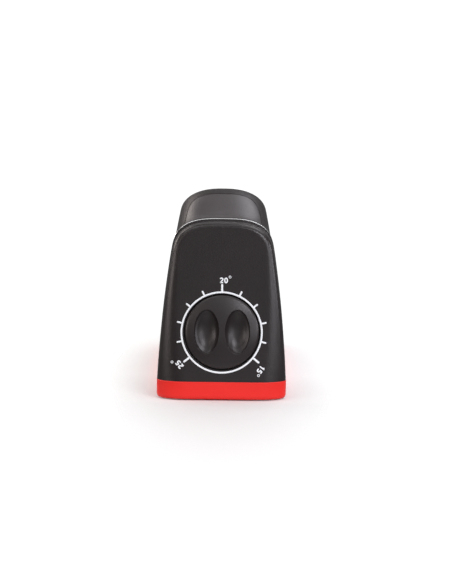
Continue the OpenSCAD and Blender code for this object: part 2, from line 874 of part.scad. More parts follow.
// Round neck with one flat, which carries the turn into the cam
module flatted(r) {
    intersection() {
        circle(r = r);
        translate([-r, -r])
            square([2 * r, r + neck_flat]);
    }
}

module knob_shaft() {
    shaft_top = move_gap - pocket_d + shaft_grip;
    color("lightgray")
        on_face()
            difference() {
                union() {
                    translate([0, 0, -cam_front])
                        cylinder(r = shaft_r, h = cam_front + shaft_top - push_fit);
                    translate([0, 0, -cam_back])
                        linear_extrude(cam_t)
                            flatted(neck_r);
                }
                translate([0, 0, -pocket_d - ring_tube])
                    rotate_extrude()
                        translate([shaft_r, 0])
                            circle(r = ring_tube + push_fit);
                translate([0, 0, -cam_back - over])
                    cylinder(r = cam_screw_r + push_fit, h = cam_screw_l + over);
            }
}

module friction_ring() {
    color("black")
        on_face()
            translate([0, 0, -pocket_d - ring_tube])
                rotate_extrude()
                    translate([shaft_r, 0])
                        circle(r = ring_tube);
}

// Half circle from one side of a path's end to the other, for a side vector that points out of the path
function round_end(end, side) = [
    for (i = [1:ROUND_STEPS - 1])
        let (a = 180 * i / ROUND_STEPS)
        end + cos(a) * side + sin(a) * [side[1], -side[0]]
];

// Outline with round ends of a band of a half width along a path of points
function ribbon(path, half) =
    let (
        n = len(path),
        way = [for (i = [0:n - 1]) path[min(i + 1, n - 1)] - path[max(i - 1, 0)]],
        side = [for (w = way) half * [-w[1], w[0]] / norm(w)]
    )
    concat(
        [for (i = [0:n - 1]) path[i] + side[i]],
        round_end(path[n - 1], side[n - 1]),
        [for (i = [n - 1:-1:0]) path[i] - side[i]],
        round_end(path[0], -side[0])
    );

module scroll_cam() {
    half = follower_r + pin_gap;
    path = [
        for (i = [-GROOVE_STEPS:GROOVE_STEPS])
            let (turn = knob_turn * i / GROOVE_STEPS)
            (scroll_r + scroll_rate * turn) * [sin(turn), cos(turn)]
    ];
    color("silver")
        on_face()
            difference() {
                translate([0, 0, -cam_back])
                    cylinder(r = cam_r, h = cam_t);
                translate([0, 0, -cam_back - over])
                    linear_extrude(groove_d + over)
                        polygon(ribbon(path, half));
                translate([0, 0, -cam_back - over])
                    linear_extrude(cam_t + 2 * over)
                        offset_flatted(neck_r, push_fit);
            }
}

// Hole for the flatted neck with a clearance all round
module offset_flatted(r, gap) {
    intersection() {
        circle(r = r + gap);
        translate([-r - gap, -r - gap])
            square([2 * (r + gap), r + 2 * gap + neck_flat]);
    }
}

module cam_screw() {
    color("gray")
        on_face()
            translate([0, 0, -cam_back])
                screw(cam_screw_l - cam_screw_r, cam_screw_r, cam_head_r);
}

// Frame, posts and lifter

module inner_frame() {
    half = cheek_x + cheek_t;
    cheek = [
        [frame_front + cheek_in, frame_z], [frame_rear, frame_z], [frame_rear, frame_z + cheek_h],
        [fine_y + cheek_rim, axle_z + cheek_rim], [coarse_y - cheek_rim, axle_z + cheek_rim],
        [frame_front + cheek_in, frame_z + cheek_h]
    ];
    window = [
        [coarse_y + window_in, frame_z + window_rise], [fine_y - window_in, frame_z + window_rise],
        [fine_y - window_in, axle_z - window_drop], [coarse_y + window_in, axle_z - window_drop]
    ];
    color("darkslategray")
        difference() {
            union() {
                translate([-half, frame_front, frame_z])
                    cube([2 * half, frame_rear - frame_front, frame_t]);
                for (x = [-half, cheek_x])
                    across(x, x + cheek_t)
                        difference() {
                            polygon(cheek);
                            polygon(window);
                        }
            }
            for (y = [coarse_y, fine_y])
                across(-far, far)
                    translate([y, axle_z])
                        circle(r = axle_r + push_fit);
            for (y = post_ys)
                translate([0, y, 0])
                    cylinder(r = post_r + push_fit, h = far);
            for (p = frame_screw_spots)
                translate([p[0], p[1], 0])
                    cylinder(r = screw_r + push_fit, h = far);
        }
}

module frame_screws() {
    color("gray")
        for (p = frame_screw_spots)
            translate([p[0], p[1], frame_z + frame_t])
                rotate([180, 0, 0])
                    screw(frame_t + floor_t);
}

module guide_posts() {
    color("lightgray")
        for (y = post_ys)
            translate([0, y, frame_z])
                cylinder(r = post_r, h = axle_z - frame_z);
}

// Point in the Y-Z plane at a distance up the face from the knob's axis and a depth behind the face
function face_point(up, depth) = [
    face_y(knob_z) + up * sin(face_lean) + depth * cos(face_lean),
    knob_z + up * cos(face_lean) - depth * sin(face_lean)
];

// Place of a drive pin at an angle, seen from the lifter
function pin_path(y, side, angle) = [
    y + side * pin_arm * sin(angle),
    axle_z - pin_arm * cos(angle) - lift * (angle - angle_mid) / angle_swing
];

// Slot in which a drive pin runs as the lifter moves
module pin_slot(y, side) {
    half = pin_r + pin_gap;
    path = [for (i = [-SLOT_STEPS:SLOT_STEPS]) pin_path(y, side, angle_mid + angle_swing * i / SLOT_STEPS)];
    across(-far, far)
        polygon(ribbon(path, half));
}

module lifter() {
    // The cross pieces end in the middle of the side plates
    outer = plate_x + plate_t / 2;
    cheek = nose_half + plate_t / 2;
    plate = [
        face_point(scroll_r - cheek, plate_front), face_point(scroll_r + cheek, plate_front),
        [coarse_y - plate_reach, lifter_top], [fine_y + plate_reach, lifter_top],
        [fine_y + plate_reach, lifter_low], [coarse_y - plate_reach, lifter_low]
    ];
    color("goldenrod")
        difference() {
            union() {
                for (x = [-plate_x - plate_t, plate_x])
                    across(x, x + plate_t)
                        polygon(plate);
                on_face()
                    translate([-outer, scroll_r - nose_half, -plate_front - plate_t])
                        cube([2 * outer, 2 * nose_half, plate_t]);
                for (y = post_ys)
                    translate([-outer, y - bar_half, lifter_low])
                        cube([2 * outer, 2 * bar_half, bar_h]);
            }
            for (y = [coarse_y, fine_y])
                for (side = [-1, 1])
                    pin_slot(y, side);
            for (y = post_ys)
                translate([0, y, 0])
                    cylinder(r = post_r + run_fit, h = far);
            on_face()
                translate([0, scroll_r, -plate_front - plate_t - over])
                    cylinder(r = follower_r + push_fit, h = plate_t + 2 * over);
        }
}

module follower_pin() {
    tip = cam_back - groove_d + lift * sin(face_lean) + move_gap;
    color("lightgray")
        on_face()
            translate([0, scroll_r, -plate_front - plate_t])
                cylinder(r = follower_r, h = plate_front + plate_t - tip);
}

// Sharpening stages

module axle(y) {
    color("lightgray")
        translate([0, y, axle_z])
            rotate([0, 90, 0])
                difference() {
                    translate([0, 0, -axle_end])
                        cylinder(r = axle_r, h = 2 * axle_end);
                    for (z = [-clip_x - clip_t, clip_x])
                        translate([0, 0, z - push_fit])
                            difference() {
                                cylinder(r = axle_r + over, h = clip_t + 2 * push_fit);
                                translate([0, 0, -over])
                                    cylinder(r = axle_r - clip_d, h = clip_t + 3 * over);
                            }
                }
}

module coarse_axle() {
    axle(coarse_y);
}

module fine_axle() {
    axle(fine_y);
}

module axle_clips() {
    seat = axle_r - clip_d + push_fit;
    color("gray")
        for (y = [coarse_y, fine_y])
            for (x = [-clip_x - clip_t, clip_x])
                across(x, x + clip_t)
                    translate([y, axle_z])
                        difference() {
                            circle(r = axle_r + clip_rim);
                            circle(r = seat);
                            translate([-clip_mouth, -far])
                                square([2 * clip_mouth, far]);
                        }
}

// Frame of a holder: the rods point along +Z from the axle and the outer side is -Y.
// Side 1 leans to the front, side -1 to the rear.
module on_holder(y, side) {
    translate([0, y, axle_z])
        mirror([0, side > 0 ? 0 : 1, 0])
            rotate([angle_mid, 0, 0])
                children();
}

// Outline of a holder in its own frame: hub, back of the rods, ledge under them and tail
module holder_outline() {
    circle(r = hub_r);
    translate([-rod_back, 0])
        square([rod_back, rod_top + rod_cap]);
    translate([-rod_back, 0])
        square([rod_back + rod_r, rod_low]);
    translate([-tail_half, -pin_arm])
        square([2 * tail_half, pin_arm]);
    translate([0, -pin_arm])
        circle(r = eye_r);
}

// Holder made of plates that reach from one x to another, with rods at the given distances
module holder(y, side, plates, rods) {
    color("#4a4a4c")
        on_holder(y, side)
            difference() {
                union() {
                    for (p = plates)
                        across(p[0], p[1])
                            holder_outline();
                    across(plates[0][0], plates[len(plates) - 1][1])
                        translate([0, -pin_arm])
                            circle(r = eye_r);
                }
                across(-far, far)
                    circle(r = axle_r + run_fit);
                across(-far, far)
                    translate([0, -pin_arm])
                        circle(r = pin_r + push_fit);
                for (x = rods)
                    translate([x, 0, rod_low])
                        cylinder(r = rod_r + push_fit, h = far);
            }
}

module rods(y, side, xs, shade) {
    color(shade)
        on_holder(y, side)
            for (x = xs)
                translate([x, 0, rod_low])
                    cylinder(r = rod_r, h = rod_top - rod_low);
}

module drive_pin(y, side) {
    half = plate_x + plate_t + pin_out;
    color("lightgray")
        on_holder(y, side)
            across(-half, half)
                translate([0, -pin_arm])
                    circle(r = pin_r);
}

outer_plates = [[holder_gap - plate_x, -inner_half - holder_gap], [inner_half + holder_gap, plate_x - holder_gap]];
inner_plates = [[-inner_half, inner_half]];
outer_rods = [-outer_rod_x, outer_rod_x];
inner_rods = [-inner_rod_x, inner_rod_x];

module coarse_front_holder() { holder(coarse_y, 1, outer_plates, outer_rods); }
module coarse_front_rods() { rods(coarse_y, 1, outer_rods, "#8b8f93"); }
module coarse_front_pin() { drive_pin(coarse_y, 1); }
module coarse_rear_holder() { holder(coarse_y, -1, inner_plates, inner_rods); }
module coarse_rear_rods() { rods(coarse_y, -1, inner_rods, "#8b8f93"); }
module coarse_rear_pin() { drive_pin(coarse_y, -1); }
module fine_front_holder() { holder(fine_y, 1, outer_plates, outer_rods); }
module fine_front_rods() { rods(fine_y, 1, outer_rods, "ivory"); }
module fine_front_pin() { drive_pin(fine_y, 1); }
module fine_rear_holder() { holder(fine_y, -1, inner_plates, inner_rods); }
module fine_rear_rods() { rods(fine_y, -1, inner_rods, "ivory"); }
module fine_rear_pin() { drive_pin(fine_y, -1); }

base_tray();
rubber_feet();
base_screws();
front_cover();
chrome_trim();
body_left();
body_right();
body_screws();
grip_inlay();
coarse_saddle();
fine_saddle();
angle_knob();
knob_shaft();
friction_ring();
scroll_cam();
cam_screw();
inner_frame();
frame_screws();
guide_posts();
lifter();
follower_pin();
coarse_axle();
fine_axle();
axle_clips();
coarse_front_holder();
coarse_front_rods();
coarse_front_pin();
coarse_rear_holder();
coarse_rear_rods();
coarse_rear_pin();
fine_front_holder();
fine_front_rods();
fine_front_pin();
fine_rear_holder();
fine_rear_rods();
fine_rear_pin();
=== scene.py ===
"""Looks of a manual knife sharpener: shells, metal trim, a printed angle scale and a plain studio."""
import json
import math

import bmesh
import bpy
from mathutils import Matrix, Vector
from mathutils.bvhtree import BVHTree


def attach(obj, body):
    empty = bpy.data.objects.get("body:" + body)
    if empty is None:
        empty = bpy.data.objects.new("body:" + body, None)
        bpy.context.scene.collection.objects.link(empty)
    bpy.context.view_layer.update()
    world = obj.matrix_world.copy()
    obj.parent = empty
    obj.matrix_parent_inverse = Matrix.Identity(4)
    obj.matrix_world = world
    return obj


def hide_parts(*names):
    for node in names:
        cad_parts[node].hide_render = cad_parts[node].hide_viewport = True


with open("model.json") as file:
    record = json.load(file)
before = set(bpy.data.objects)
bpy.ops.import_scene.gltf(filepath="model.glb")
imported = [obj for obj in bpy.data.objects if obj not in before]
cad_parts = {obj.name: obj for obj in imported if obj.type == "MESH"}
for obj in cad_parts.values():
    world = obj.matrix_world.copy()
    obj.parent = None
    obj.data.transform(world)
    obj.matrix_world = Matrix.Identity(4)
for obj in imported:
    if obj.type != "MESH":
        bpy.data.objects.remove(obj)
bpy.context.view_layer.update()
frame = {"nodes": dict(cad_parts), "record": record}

# Lengths in millimetres, leans in radians and the dial's turn in degrees
BASE_L = 200.0
BASE_W = 65.2
BASE_TOP = 9.5
BASE_LIP = 0.1
HEAD_H = 88.8
DECK_H = 84.0
CREST_H = 98.0
CREST_Y = 35.0
SIDE_TAPER = 0.036
SIDE_BOW = 0.000956
SHOULDER = 13.0
SHOULDER_POWER = 2.45
HEAD_SHOULDER = 16.0
HEAD_POWER = 3.1
WALL = 2.5
SEAM = 0.003
FACE_LEAN = math.radians(10.5)
COVER_DEPTH = 16.0
FACE_EDGE_D = 9.5
FACE_EDGE_D_HIGH = 3.8
FACE_EDGE_LOW = 15.0
FACE_EDGE_HIGH = 2.35
COLLAR_H = 1.05
COLLAR_D = 0.3
COLLAR_SIDE = 0.7
FACE_EDGE_POWER = 2.0
FACE_EDGE_POWER_HIGH = 2.7
TRIM_T = 2.0
TRIM_PROUD = 0.26
TRIM_RAIL = 4.5
REAR_LEAN = math.radians(8)
REAR_EDGE_D = 26.0
REAR_EDGE_W = 14.0
REAR_EDGE_FALL = 24.0
TAIL_FALL = 4.0
TAIL_POWER = 1.4
TAIL_ROLL = 5.5
GRIP_L = 70.0
GRIP_H = 36.0
GRIP_Z = 48.0
GRIP_Y = 40.0
GRIP_EDGE = 5.0
GRIP_POWER = 3.0
INLAY_BORDER = 3.2
INLAY_BACK = 11.5
INLAY_POWER = 5.5
INLAY_TIP = 0.999
INLAY_T = 2.0
INLAY_SINK = 0.2
KNOB_UP = 25.0
KNOB_R = 18.6
KNOB_RIM = 1.2
KNOB_DOME = 3.4
KNOB_EDGE = 1.4
POCKET_R = 19.1
POCKET_D = 6.0
DENT_W = 12.6
DENT_L = 22.0
DENT_D = 4.4
DENT_X = 7.7
DIAL_TURN = 128.57
SHAFT_R = 3.0
COARSE_Y = -47.0
FINE_Y = -21.0
SLOT_W = 5.4
SLOT_FLOOR = 57.0
SADDLE_W = 14.0
SADDLE_LOW = 47.0
SADDLE_PROUD = 0.3
FLOOR_T = 2.5
DECK_MARGIN = 2.0
FOOT_H = 1.0
FOOT_R = 5.5
FOOT_SEAT = 0.8
BASE_LOW = 0.5
BASE_ROUND = 2.2
BASE_TUCK = 1.3
SCREW_R = 1.5
HEAD_R = 2.8
BOSS_R = 4.0
BASE_SCREW_Z = 3.0
BASE_SCREW_L = 16.0
SCREW_TIP = 3.0
HEAD_GAP = 0.2
FOOT_GAP = 0.1
FOOT_IN = 12.0
FOOT_ALONG = 30.0
HOLDER_REACH = 23.5
HOLDER_HALF = 3.0
HOLDER_GAP = 0.4
HOLDER_LEAN = math.radians(25)

MM = 0.001
FAR = 200.0
# Reach of a cutter past the face that it cuts
OVER = 1.0
FRONT_Y = -BASE_L / 2 + BASE_LIP
REAR_Y = BASE_L / 2 - BASE_LIP
FACE_SLOPE = math.tan(FACE_LEAN)
REAR_SLOPE = -math.tan(REAR_LEAN)
KNOB_Z = BASE_TOP + KNOB_UP * math.cos(FACE_LEAN)
KNOB_Y = FRONT_Y + (KNOB_Z - BASE_TOP) * FACE_SLOPE
BODY_Y = FRONT_Y + COVER_DEPTH + TRIM_T / math.cos(FACE_LEAN)
DECK_START = COARSE_Y - SADDLE_W / 2 - DECK_MARGIN
DECK_END = FINE_Y + SADDLE_W / 2 + DECK_MARGIN
HOLDER_TIP = HOLDER_REACH * math.sin(HOLDER_LEAN) + HOLDER_HALF * math.cos(HOLDER_LEAN)
CAVITY_END = FINE_Y + HOLDER_TIP + HOLDER_GAP
INLAY_START = CAVITY_END + WALL
INLAY_END = CREST_Y - INLAY_BACK
TAIL_MID_Y = (GRIP_Y + GRIP_L / 2 + REAR_Y + REAR_SLOPE * (GRIP_Z - BASE_TOP)) / 2
# Base screws of one side, as x, y: under the cover, in front of the hand opening and under the tail
BASE_SCREW_ROW = (
    (BASE_W / 2 - 6.3, FRONT_Y + 11.5),
    (BASE_W / 2 - 8.3, CAVITY_END + 7.0),
    (13.0, TAIL_MID_Y),
)
BASE_SCREWS = [(side * x, y) for side in (-1, 1) for x, y in BASE_SCREW_ROW]
# Cross screws of the body, as y, z: in front of, over and behind the hand opening
BODY_SCREWS = (
    ((GRIP_Y - GRIP_L / 2 + CAVITY_END) / 2, 30.0),
    (GRIP_Y, (GRIP_Z + GRIP_H / 2 + CREST_H) / 2),
    (TAIL_MID_Y, GRIP_Z),
)
BODY_HEAD_X = -14.0
BODY_SCREW_END = 13.0
FOOT_X = BASE_W / 2 - FOOT_IN
FOOT_Y = BASE_L / 2 - FOOT_ALONG
FOOT_SPOTS = [(x, y) for x in (-FOOT_X, FOOT_X) for y in (-FOOT_Y, FOOT_Y)]

# Frame on the face: u to the right, v up the face, w out of it along the knob's axis
FACE = Matrix((
    (1, 0, 0, 0),
    (0, math.sin(FACE_LEAN), -math.cos(FACE_LEAN), KNOB_Y),
    (0, math.cos(FACE_LEAN), math.sin(FACE_LEAN), KNOB_Z),
    (0, 0, 0, 1),
))


def mix(a, b, t):
    """Value between two others at a share."""
    return a + (b - a) * t


def smooth(t):
    """Share from 0 to 1 with soft ends."""
    return t * t * (3 - 2 * t)


def half_width(z):
    """Half width of the body at a height."""
    rise = z - BASE_TOP
    return BASE_W / 2 - BASE_LIP - SIDE_TAPER * rise - SIDE_BOW * rise * rise


def shoulder(top):
    """Height and fullness of a section's shoulders, squarer at the head than at the handle's crest."""
    climb = smooth(min(max((top - HEAD_H) / (CREST_H - HEAD_H), 0), 1))
    return mix(HEAD_SHOULDER, SHOULDER, climb), mix(HEAD_POWER, SHOULDER_POWER, climb)


def arch(top, low=0.0, high=0.0, foot=BASE_TOP, sides=30, shoulders=40):
    """Arched section as x, z points, anticlockwise seen from the front."""
    half = []
    tall, power = shoulder(top)
    for i in range(sides):
        z = mix(foot, top - tall, i / sides)
        half.append((half_width(z) - mix(low, high, (z - foot) / (top - foot)), z))
    for i in range(shoulders + 1):
        a = math.pi / 2 * i / shoulders
        z = top - tall + tall * math.sin(a) ** (2 / power)
        share = max(math.cos(a), 0) ** (2 / power)
        half.append(((half_width(z) - mix(low, high, (z - foot) / (top - foot))) * share, z))
    half[-1] = (0.0, top)
    return half + [(-x, z) for x, z in reversed(half[:-1])]


def ring(section, y, slope):
    """Points of a section that stands at y and leans by a slope."""
    return [(x, y + slope * (z - BASE_TOP), z) for x, z in section]


def make(name, points, faces):
    """New object from points in millimetres."""
    mesh = bpy.data.meshes.new(name)
    mesh.from_pydata([Vector(p) * MM for p in points], [], faces)
    mesh.update()
    obj = bpy.data.objects.new(name, mesh)
    bpy.context.scene.collection.objects.link(obj)
    return obj


def loft(name, rings, capped=True):
    """Skin through rings that run anticlockwise seen from the first one."""
    n = len(rings[0])
    faces = []
    for k in range(len(rings) - 1):
        a, b = k * n, (k + 1) * n
        for i in range(n):
            j = (i + 1) % n
            faces.append((a + i, b + i, b + j, a + j))
    if capped:
        faces.append(tuple(range(n)))
        last = (len(rings) - 1) * n
        faces.append(tuple(last + i for i in reversed(range(n))))
    return make(name, [p for r in rings for p in r], faces)


def lathe(name, profile, place, segments=192):
    """Solid of revolution about w from r, w points that start and end on the axis, back to front."""
    inner = profile[1:-1]
    points = [place @ Vector((0, 0, profile[0][1])), place @ Vector((0, 0, profile[-1][1]))]
    for r, w in inner:
        for i in range(segments):
            a = 2 * math.pi * i / segments
            points.append(place @ Vector((r * math.cos(a), r * math.sin(a), w)))
    faces = []
    for i in range(segments):
        j = (i + 1) % segments
        faces.append((0, 2 + j, 2 + i))
        for k in range(len(inner) - 1):
            a, b = 2 + k * segments, 2 + (k + 1) * segments
            faces.append((a + i, a + j, b + j, b + i))
        last = 2 + (len(inner) - 1) * segments
        faces.append((1, last + i, last + j))
    return make(name, points, faces)


def block(name, low, high):
    """Box between two corners."""
    points = [(x, y, z) for z in (low[2], high[2]) for y in (low[1], high[1]) for x in (low[0], high[0])]
    faces = [(0, 2, 3, 1), (4, 5, 7, 6), (0, 1, 5, 4), (2, 6, 7, 3), (0, 4, 6, 2), (1, 3, 7, 5)]
    return make(name, points, faces)


def prism(name, outline, x0, x1):
    """Outline of y, z points, anticlockwise seen from +X, thickened from x0 to x1."""
    n = len(outline)
    points = [(x0, y, z) for y, z in outline] + [(x1, y, z) for y, z in outline]
    faces = [tuple(reversed(range(n))), tuple(range(n, 2 * n))]
    faces += [(i, (i + 1) % n, n + (i + 1) % n, n + i) for i in range(n)]
    return make(name, points, faces)


def carve(obj, tools, operation="DIFFERENCE"):
    """Cut the tools out of an object, or join them to it, and remove them."""
    for tool in tools:
        cut = obj.modifiers.new("cut", "BOOLEAN")
        cut.operation = operation
        cut.solver = "MANIFOLD"
        cut.object = tool
        result = bpy.data.meshes.new_from_object(obj.evaluated_get(bpy.context.evaluated_depsgraph_get()))
        obj.modifiers.clear()
        old = obj.data
        obj.data = result
        bpy.data.meshes.remove(old)
        bpy.data.objects.remove(tool)
    return obj


def vertical(x, y, z0, z1, r, segments=48):
    """Upright cylinder."""
    place = Matrix.Translation((x, y, 0))
    return lathe("post", [(0, z0), (r, z0), (r, z1), (0, z1)], place, segments)


def sideways(y, z, x0, x1, r, segments=48):
    """Cylinder along X."""
    place = Matrix.Translation((0, y, z)) @ Matrix.Rotation(math.pi / 2, 4, "Y")
    return lathe("bar", [(0, x0), (r, x0), (r, x1), (0, x1)], place, segments)


def dress(obj, material, body="root", replaces=None, angle=32, weighted=True):
    """Shading, finish and the body that a piece rides on."""
    obj.data.materials.clear()
    obj.data.materials.append(material)
    obj.data.shade_smooth()
    obj.data.set_sharp_from_angle(angle=math.radians(angle))
    if weighted:
        normals = obj.modifiers.new("normals", "WEIGHTED_NORMAL")
        normals.keep_sharp = True
        normals.weight = 80
    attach(obj, body)
    if replaces:
        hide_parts(replaces)
    return obj


# Materials


def new_material(name):
    """Material, its node tree and its shader."""
    material = bpy.data.materials.new(name)
    material.use_nodes = True
    tree = material.node_tree
    return material, tree, tree.nodes["Principled BSDF"]


def noise(tree, scale, detail=3.0, roughness=0.5):
    """Noise over the object's own coordinates, in metres."""
    where = tree.nodes.new("ShaderNodeTexCoord")
    texture = tree.nodes.new("ShaderNodeTexNoise")
    texture.inputs["Scale"].default_value = scale
    texture.inputs["Detail"].default_value = detail
    texture.inputs["Roughness"].default_value = roughness
    tree.links.new(where.outputs["Object"], texture.inputs["Vector"])
    return texture.outputs["Fac"]


def spread(tree, value, low, high, start=0.3, end=0.7, soft=False):
    """Value mapped from one range to another, with soft ends if asked."""
    node = tree.nodes.new("ShaderNodeMapRange")
    node.interpolation_type = "SMOOTHSTEP" if soft else "LINEAR"
    node.inputs["From Min"].default_value = start
    node.inputs["From Max"].default_value = end
    node.inputs["To Min"].default_value = low
    node.inputs["To Max"].default_value = high
    tree.links.new(value, node.inputs["Value"])
    return node.outputs["Result"]


def tint(tree, value, one, two):
    """Colour that wanders between two tones."""
    node = tree.nodes.new("ShaderNodeMix")
    node.data_type = "RGBA"
    node.inputs["A"].default_value = (*one, 1)
    node.inputs["B"].default_value = (*two, 1)
    tree.links.new(value, node.inputs["Factor"])
    return node.outputs["Result"]


def bump(tree, shader, height, strength, distance):
    """Fine relief on a shader."""
    node = tree.nodes.new("ShaderNodeBump")
    node.inputs["Strength"].default_value = strength
    node.inputs["Distance"].default_value = distance
    tree.links.new(height, node.inputs["Height"])
    tree.links.new(node.outputs["Normal"], shader.inputs["Normal"])


def finish(name, one, two, rough, grain, strength, depth=0.00004, metallic=0.0, specular=0.5, patch=40.0):
    """Moulded or machined surface: tone and gloss that vary in patches, and a fine grain."""
    material, tree, shader = new_material(name)
    gloss = patch * 2.3
    patches = noise(tree, patch, 4.0)
    tree.links.new(tint(tree, spread(tree, patches, 0, 1), one, two), shader.inputs["Base Color"])
    tree.links.new(spread(tree, noise(tree, gloss, 5.0), *rough), shader.inputs["Roughness"])
    shader.inputs["Metallic"].default_value = metallic
    shader.inputs["Specular IOR Level"].default_value = specular
    bump(tree, shader, noise(tree, grain, 2.0, 0.6), strength, depth)
    return material


SHELL_TONES = ((0.0105, 0.0072, 0.0078), (0.0135, 0.0095, 0.0102))
KNOB_TONES = ((0.0140, 0.0105, 0.0112), (0.0175, 0.0135, 0.0142))
RED_TONES = ((0.745, 0.0180, 0.0130), (0.785, 0.0210, 0.0160))
DIAMOND_TONES = ((0.16, 0.165, 0.175), (0.30, 0.31, 0.33))

cover_black = finish("cover_black", *SHELL_TONES, (0.28, 0.34), 1200, 0.8, 0.0001, specular=0.4)
body_black = finish("body_black", *SHELL_TONES, (0.36, 0.43), 1900, 0.5, specular=0.4)
knob_black = finish("knob_black", *KNOB_TONES, (0.32, 0.38), 2600, 0.25, specular=0.4)
saddle_black = finish("saddle_black", (0.022, 0.021, 0.022), (0.028, 0.027, 0.028), (0.38, 0.46), 2200, 0.4)
inlay_grey = finish("inlay_grey", (0.042, 0.037, 0.039), (0.050, 0.044, 0.047), (0.30, 0.38), 2400, 0.25)
red = finish("red", *RED_TONES, (0.34, 0.42), 2200, 0.2, specular=0.35)
print_white = finish("print_white", (0.80, 0.83, 0.86), (0.85, 0.88, 0.91), (0.45, 0.55), 3000, 0.2)
chrome = finish("chrome", (0.74, 0.74, 0.75), (0.80, 0.80, 0.81), (0.14, 0.22), 5000, 0.06, metallic=1)
steel = finish("steel", (0.50, 0.50, 0.51), (0.60, 0.60, 0.61), (0.24, 0.34), 4000, 0.12, metallic=1)
cam_metal = finish("cam_metal", (0.58, 0.58, 0.59), (0.66, 0.66, 0.67), (0.32, 0.42), 3500, 0.2, metallic=1)
rubber = finish("rubber", (0.010, 0.010, 0.010), (0.016, 0.016, 0.016), (0.70, 0.85), 1500, 0.5)
nylon = finish("nylon", (0.030, 0.032, 0.034), (0.042, 0.044, 0.046), (0.45, 0.58), 1600, 0.5)
acetal = finish("acetal", (0.74, 0.70, 0.60), (0.80, 0.76, 0.67), (0.30, 0.40), 2000, 0.15)
diamond = finish("diamond", *DIAMOND_TONES, (0.35, 0.60), 6000, 1.0, 0.0001, metallic=0.85, patch=5000)
ceramic = finish("ceramic", (0.76, 0.73, 0.66), (0.83, 0.80, 0.74), (0.48, 0.60), 5000, 0.4, 0.00006)


# Base


def corner(cx, cy, rx, ry, start, steps=20):
    """Quarter of an ellipse from a start angle, anticlockwise."""
    angles = [start + math.pi / 2 * i / steps for i in range(steps + 1)]
    return [(cx + rx * math.cos(a), cy + ry * math.sin(a)) for a in angles]


def base_outline(inset):
    """Outline of the base drawn in by an inset, anticlockwise seen from above."""
    hw, hl = BASE_W / 2 - inset, BASE_L / 2 - inset
    fx, fy = FACE_EDGE_LOW - inset, FACE_EDGE_D - inset
    rx, ry = REAR_EDGE_W - inset, REAR_EDGE_D - inset
    return (
        corner(hw - fx, fy - hl, fx, fy, -math.pi / 2) + corner(hw - rx, hl - ry, rx, ry, 0)
        + corner(rx - hw, hl - ry, rx, ry, math.pi / 2) + corner(fx - hw, fy - hl, fx, fy, math.pi)
    )


def make_base():
    """Red tray with rounded edges, screw bosses and seats for the feet."""
    top_round, under, boss_gap = 0.35, 0.3, 0.02
    heights = []
    for i in range(5):
        a = math.pi / 2 * i / 4
        heights.append((BASE_TOP - top_round * (1 - math.cos(a)), top_round * (1 - math.sin(a))))
    for i in range(11):
        a = math.pi / 2 * i / 10
        heights.append((BASE_LOW + BASE_ROUND * (1 - math.sin(a)), BASE_TUCK * (1 - math.cos(a))))
    heights.append((BASE_LOW, BASE_TUCK + under))
    base = loft("red_base", [[(x, y, z) for x, y in base_outline(inset)] for z, inset in heights])
    inner = base_outline(BASE_LIP + WALL)
    hollow = loft("hollow", [[(x, y, z) for x, y in inner] for z in (FAR, FOOT_H + FLOOR_T)])
    carve(base, [hollow])
    low, high = FOOT_H + FLOOR_T / 2, BASE_TOP - boss_gap
    carve(base, [vertical(x, y, low, high, BOSS_R) for x, y in BASE_SCREWS], "UNION")
    holes = [vertical(x, y, BASE_SCREW_Z, FAR, SCREW_R) for x, y in BASE_SCREWS]
    holes += [vertical(x, y, -OVER, BASE_SCREW_Z, HEAD_R + HEAD_GAP) for x, y in BASE_SCREWS]
    holes += [vertical(x, y, -OVER, FOOT_H + FOOT_SEAT, FOOT_R + FOOT_GAP, 64) for x, y in FOOT_SPOTS]
    carve(base, holes)
    return dress(base, red, replaces="base_tray")


# Front cover, trim and dial


def cover_ring(turn, inset, foot, inside=0.0):
    """Ring of the cover at a turn of its rounded edge, 0 at the face and a quarter turn at the sides."""
    share = 1 - math.sin(turn)
    low = inset + share * (FACE_EDGE_LOW - inset) + inside
    high = inset + share * (FACE_EDGE_HIGH - inset) + inside
    points = []
    for x, z in arch(HEAD_H - COLLAR_H - high, low, high + COLLAR_SIDE, foot):
        climb = (z - BASE_TOP) / (HEAD_H - BASE_TOP)
        power = mix(FACE_EDGE_POWER, FACE_EDGE_POWER_HIGH, min(max(2 * climb, 0), 1))
        level = max(1 - math.sin(turn) ** power, 0) ** (1 / power)
        edge = mix(FACE_EDGE_D, FACE_EDGE_D_HIGH, climb)
        points.append((x, FRONT_Y + FACE_SLOPE * (z - BASE_TOP) + mix(edge, inset, level), z))
    return points


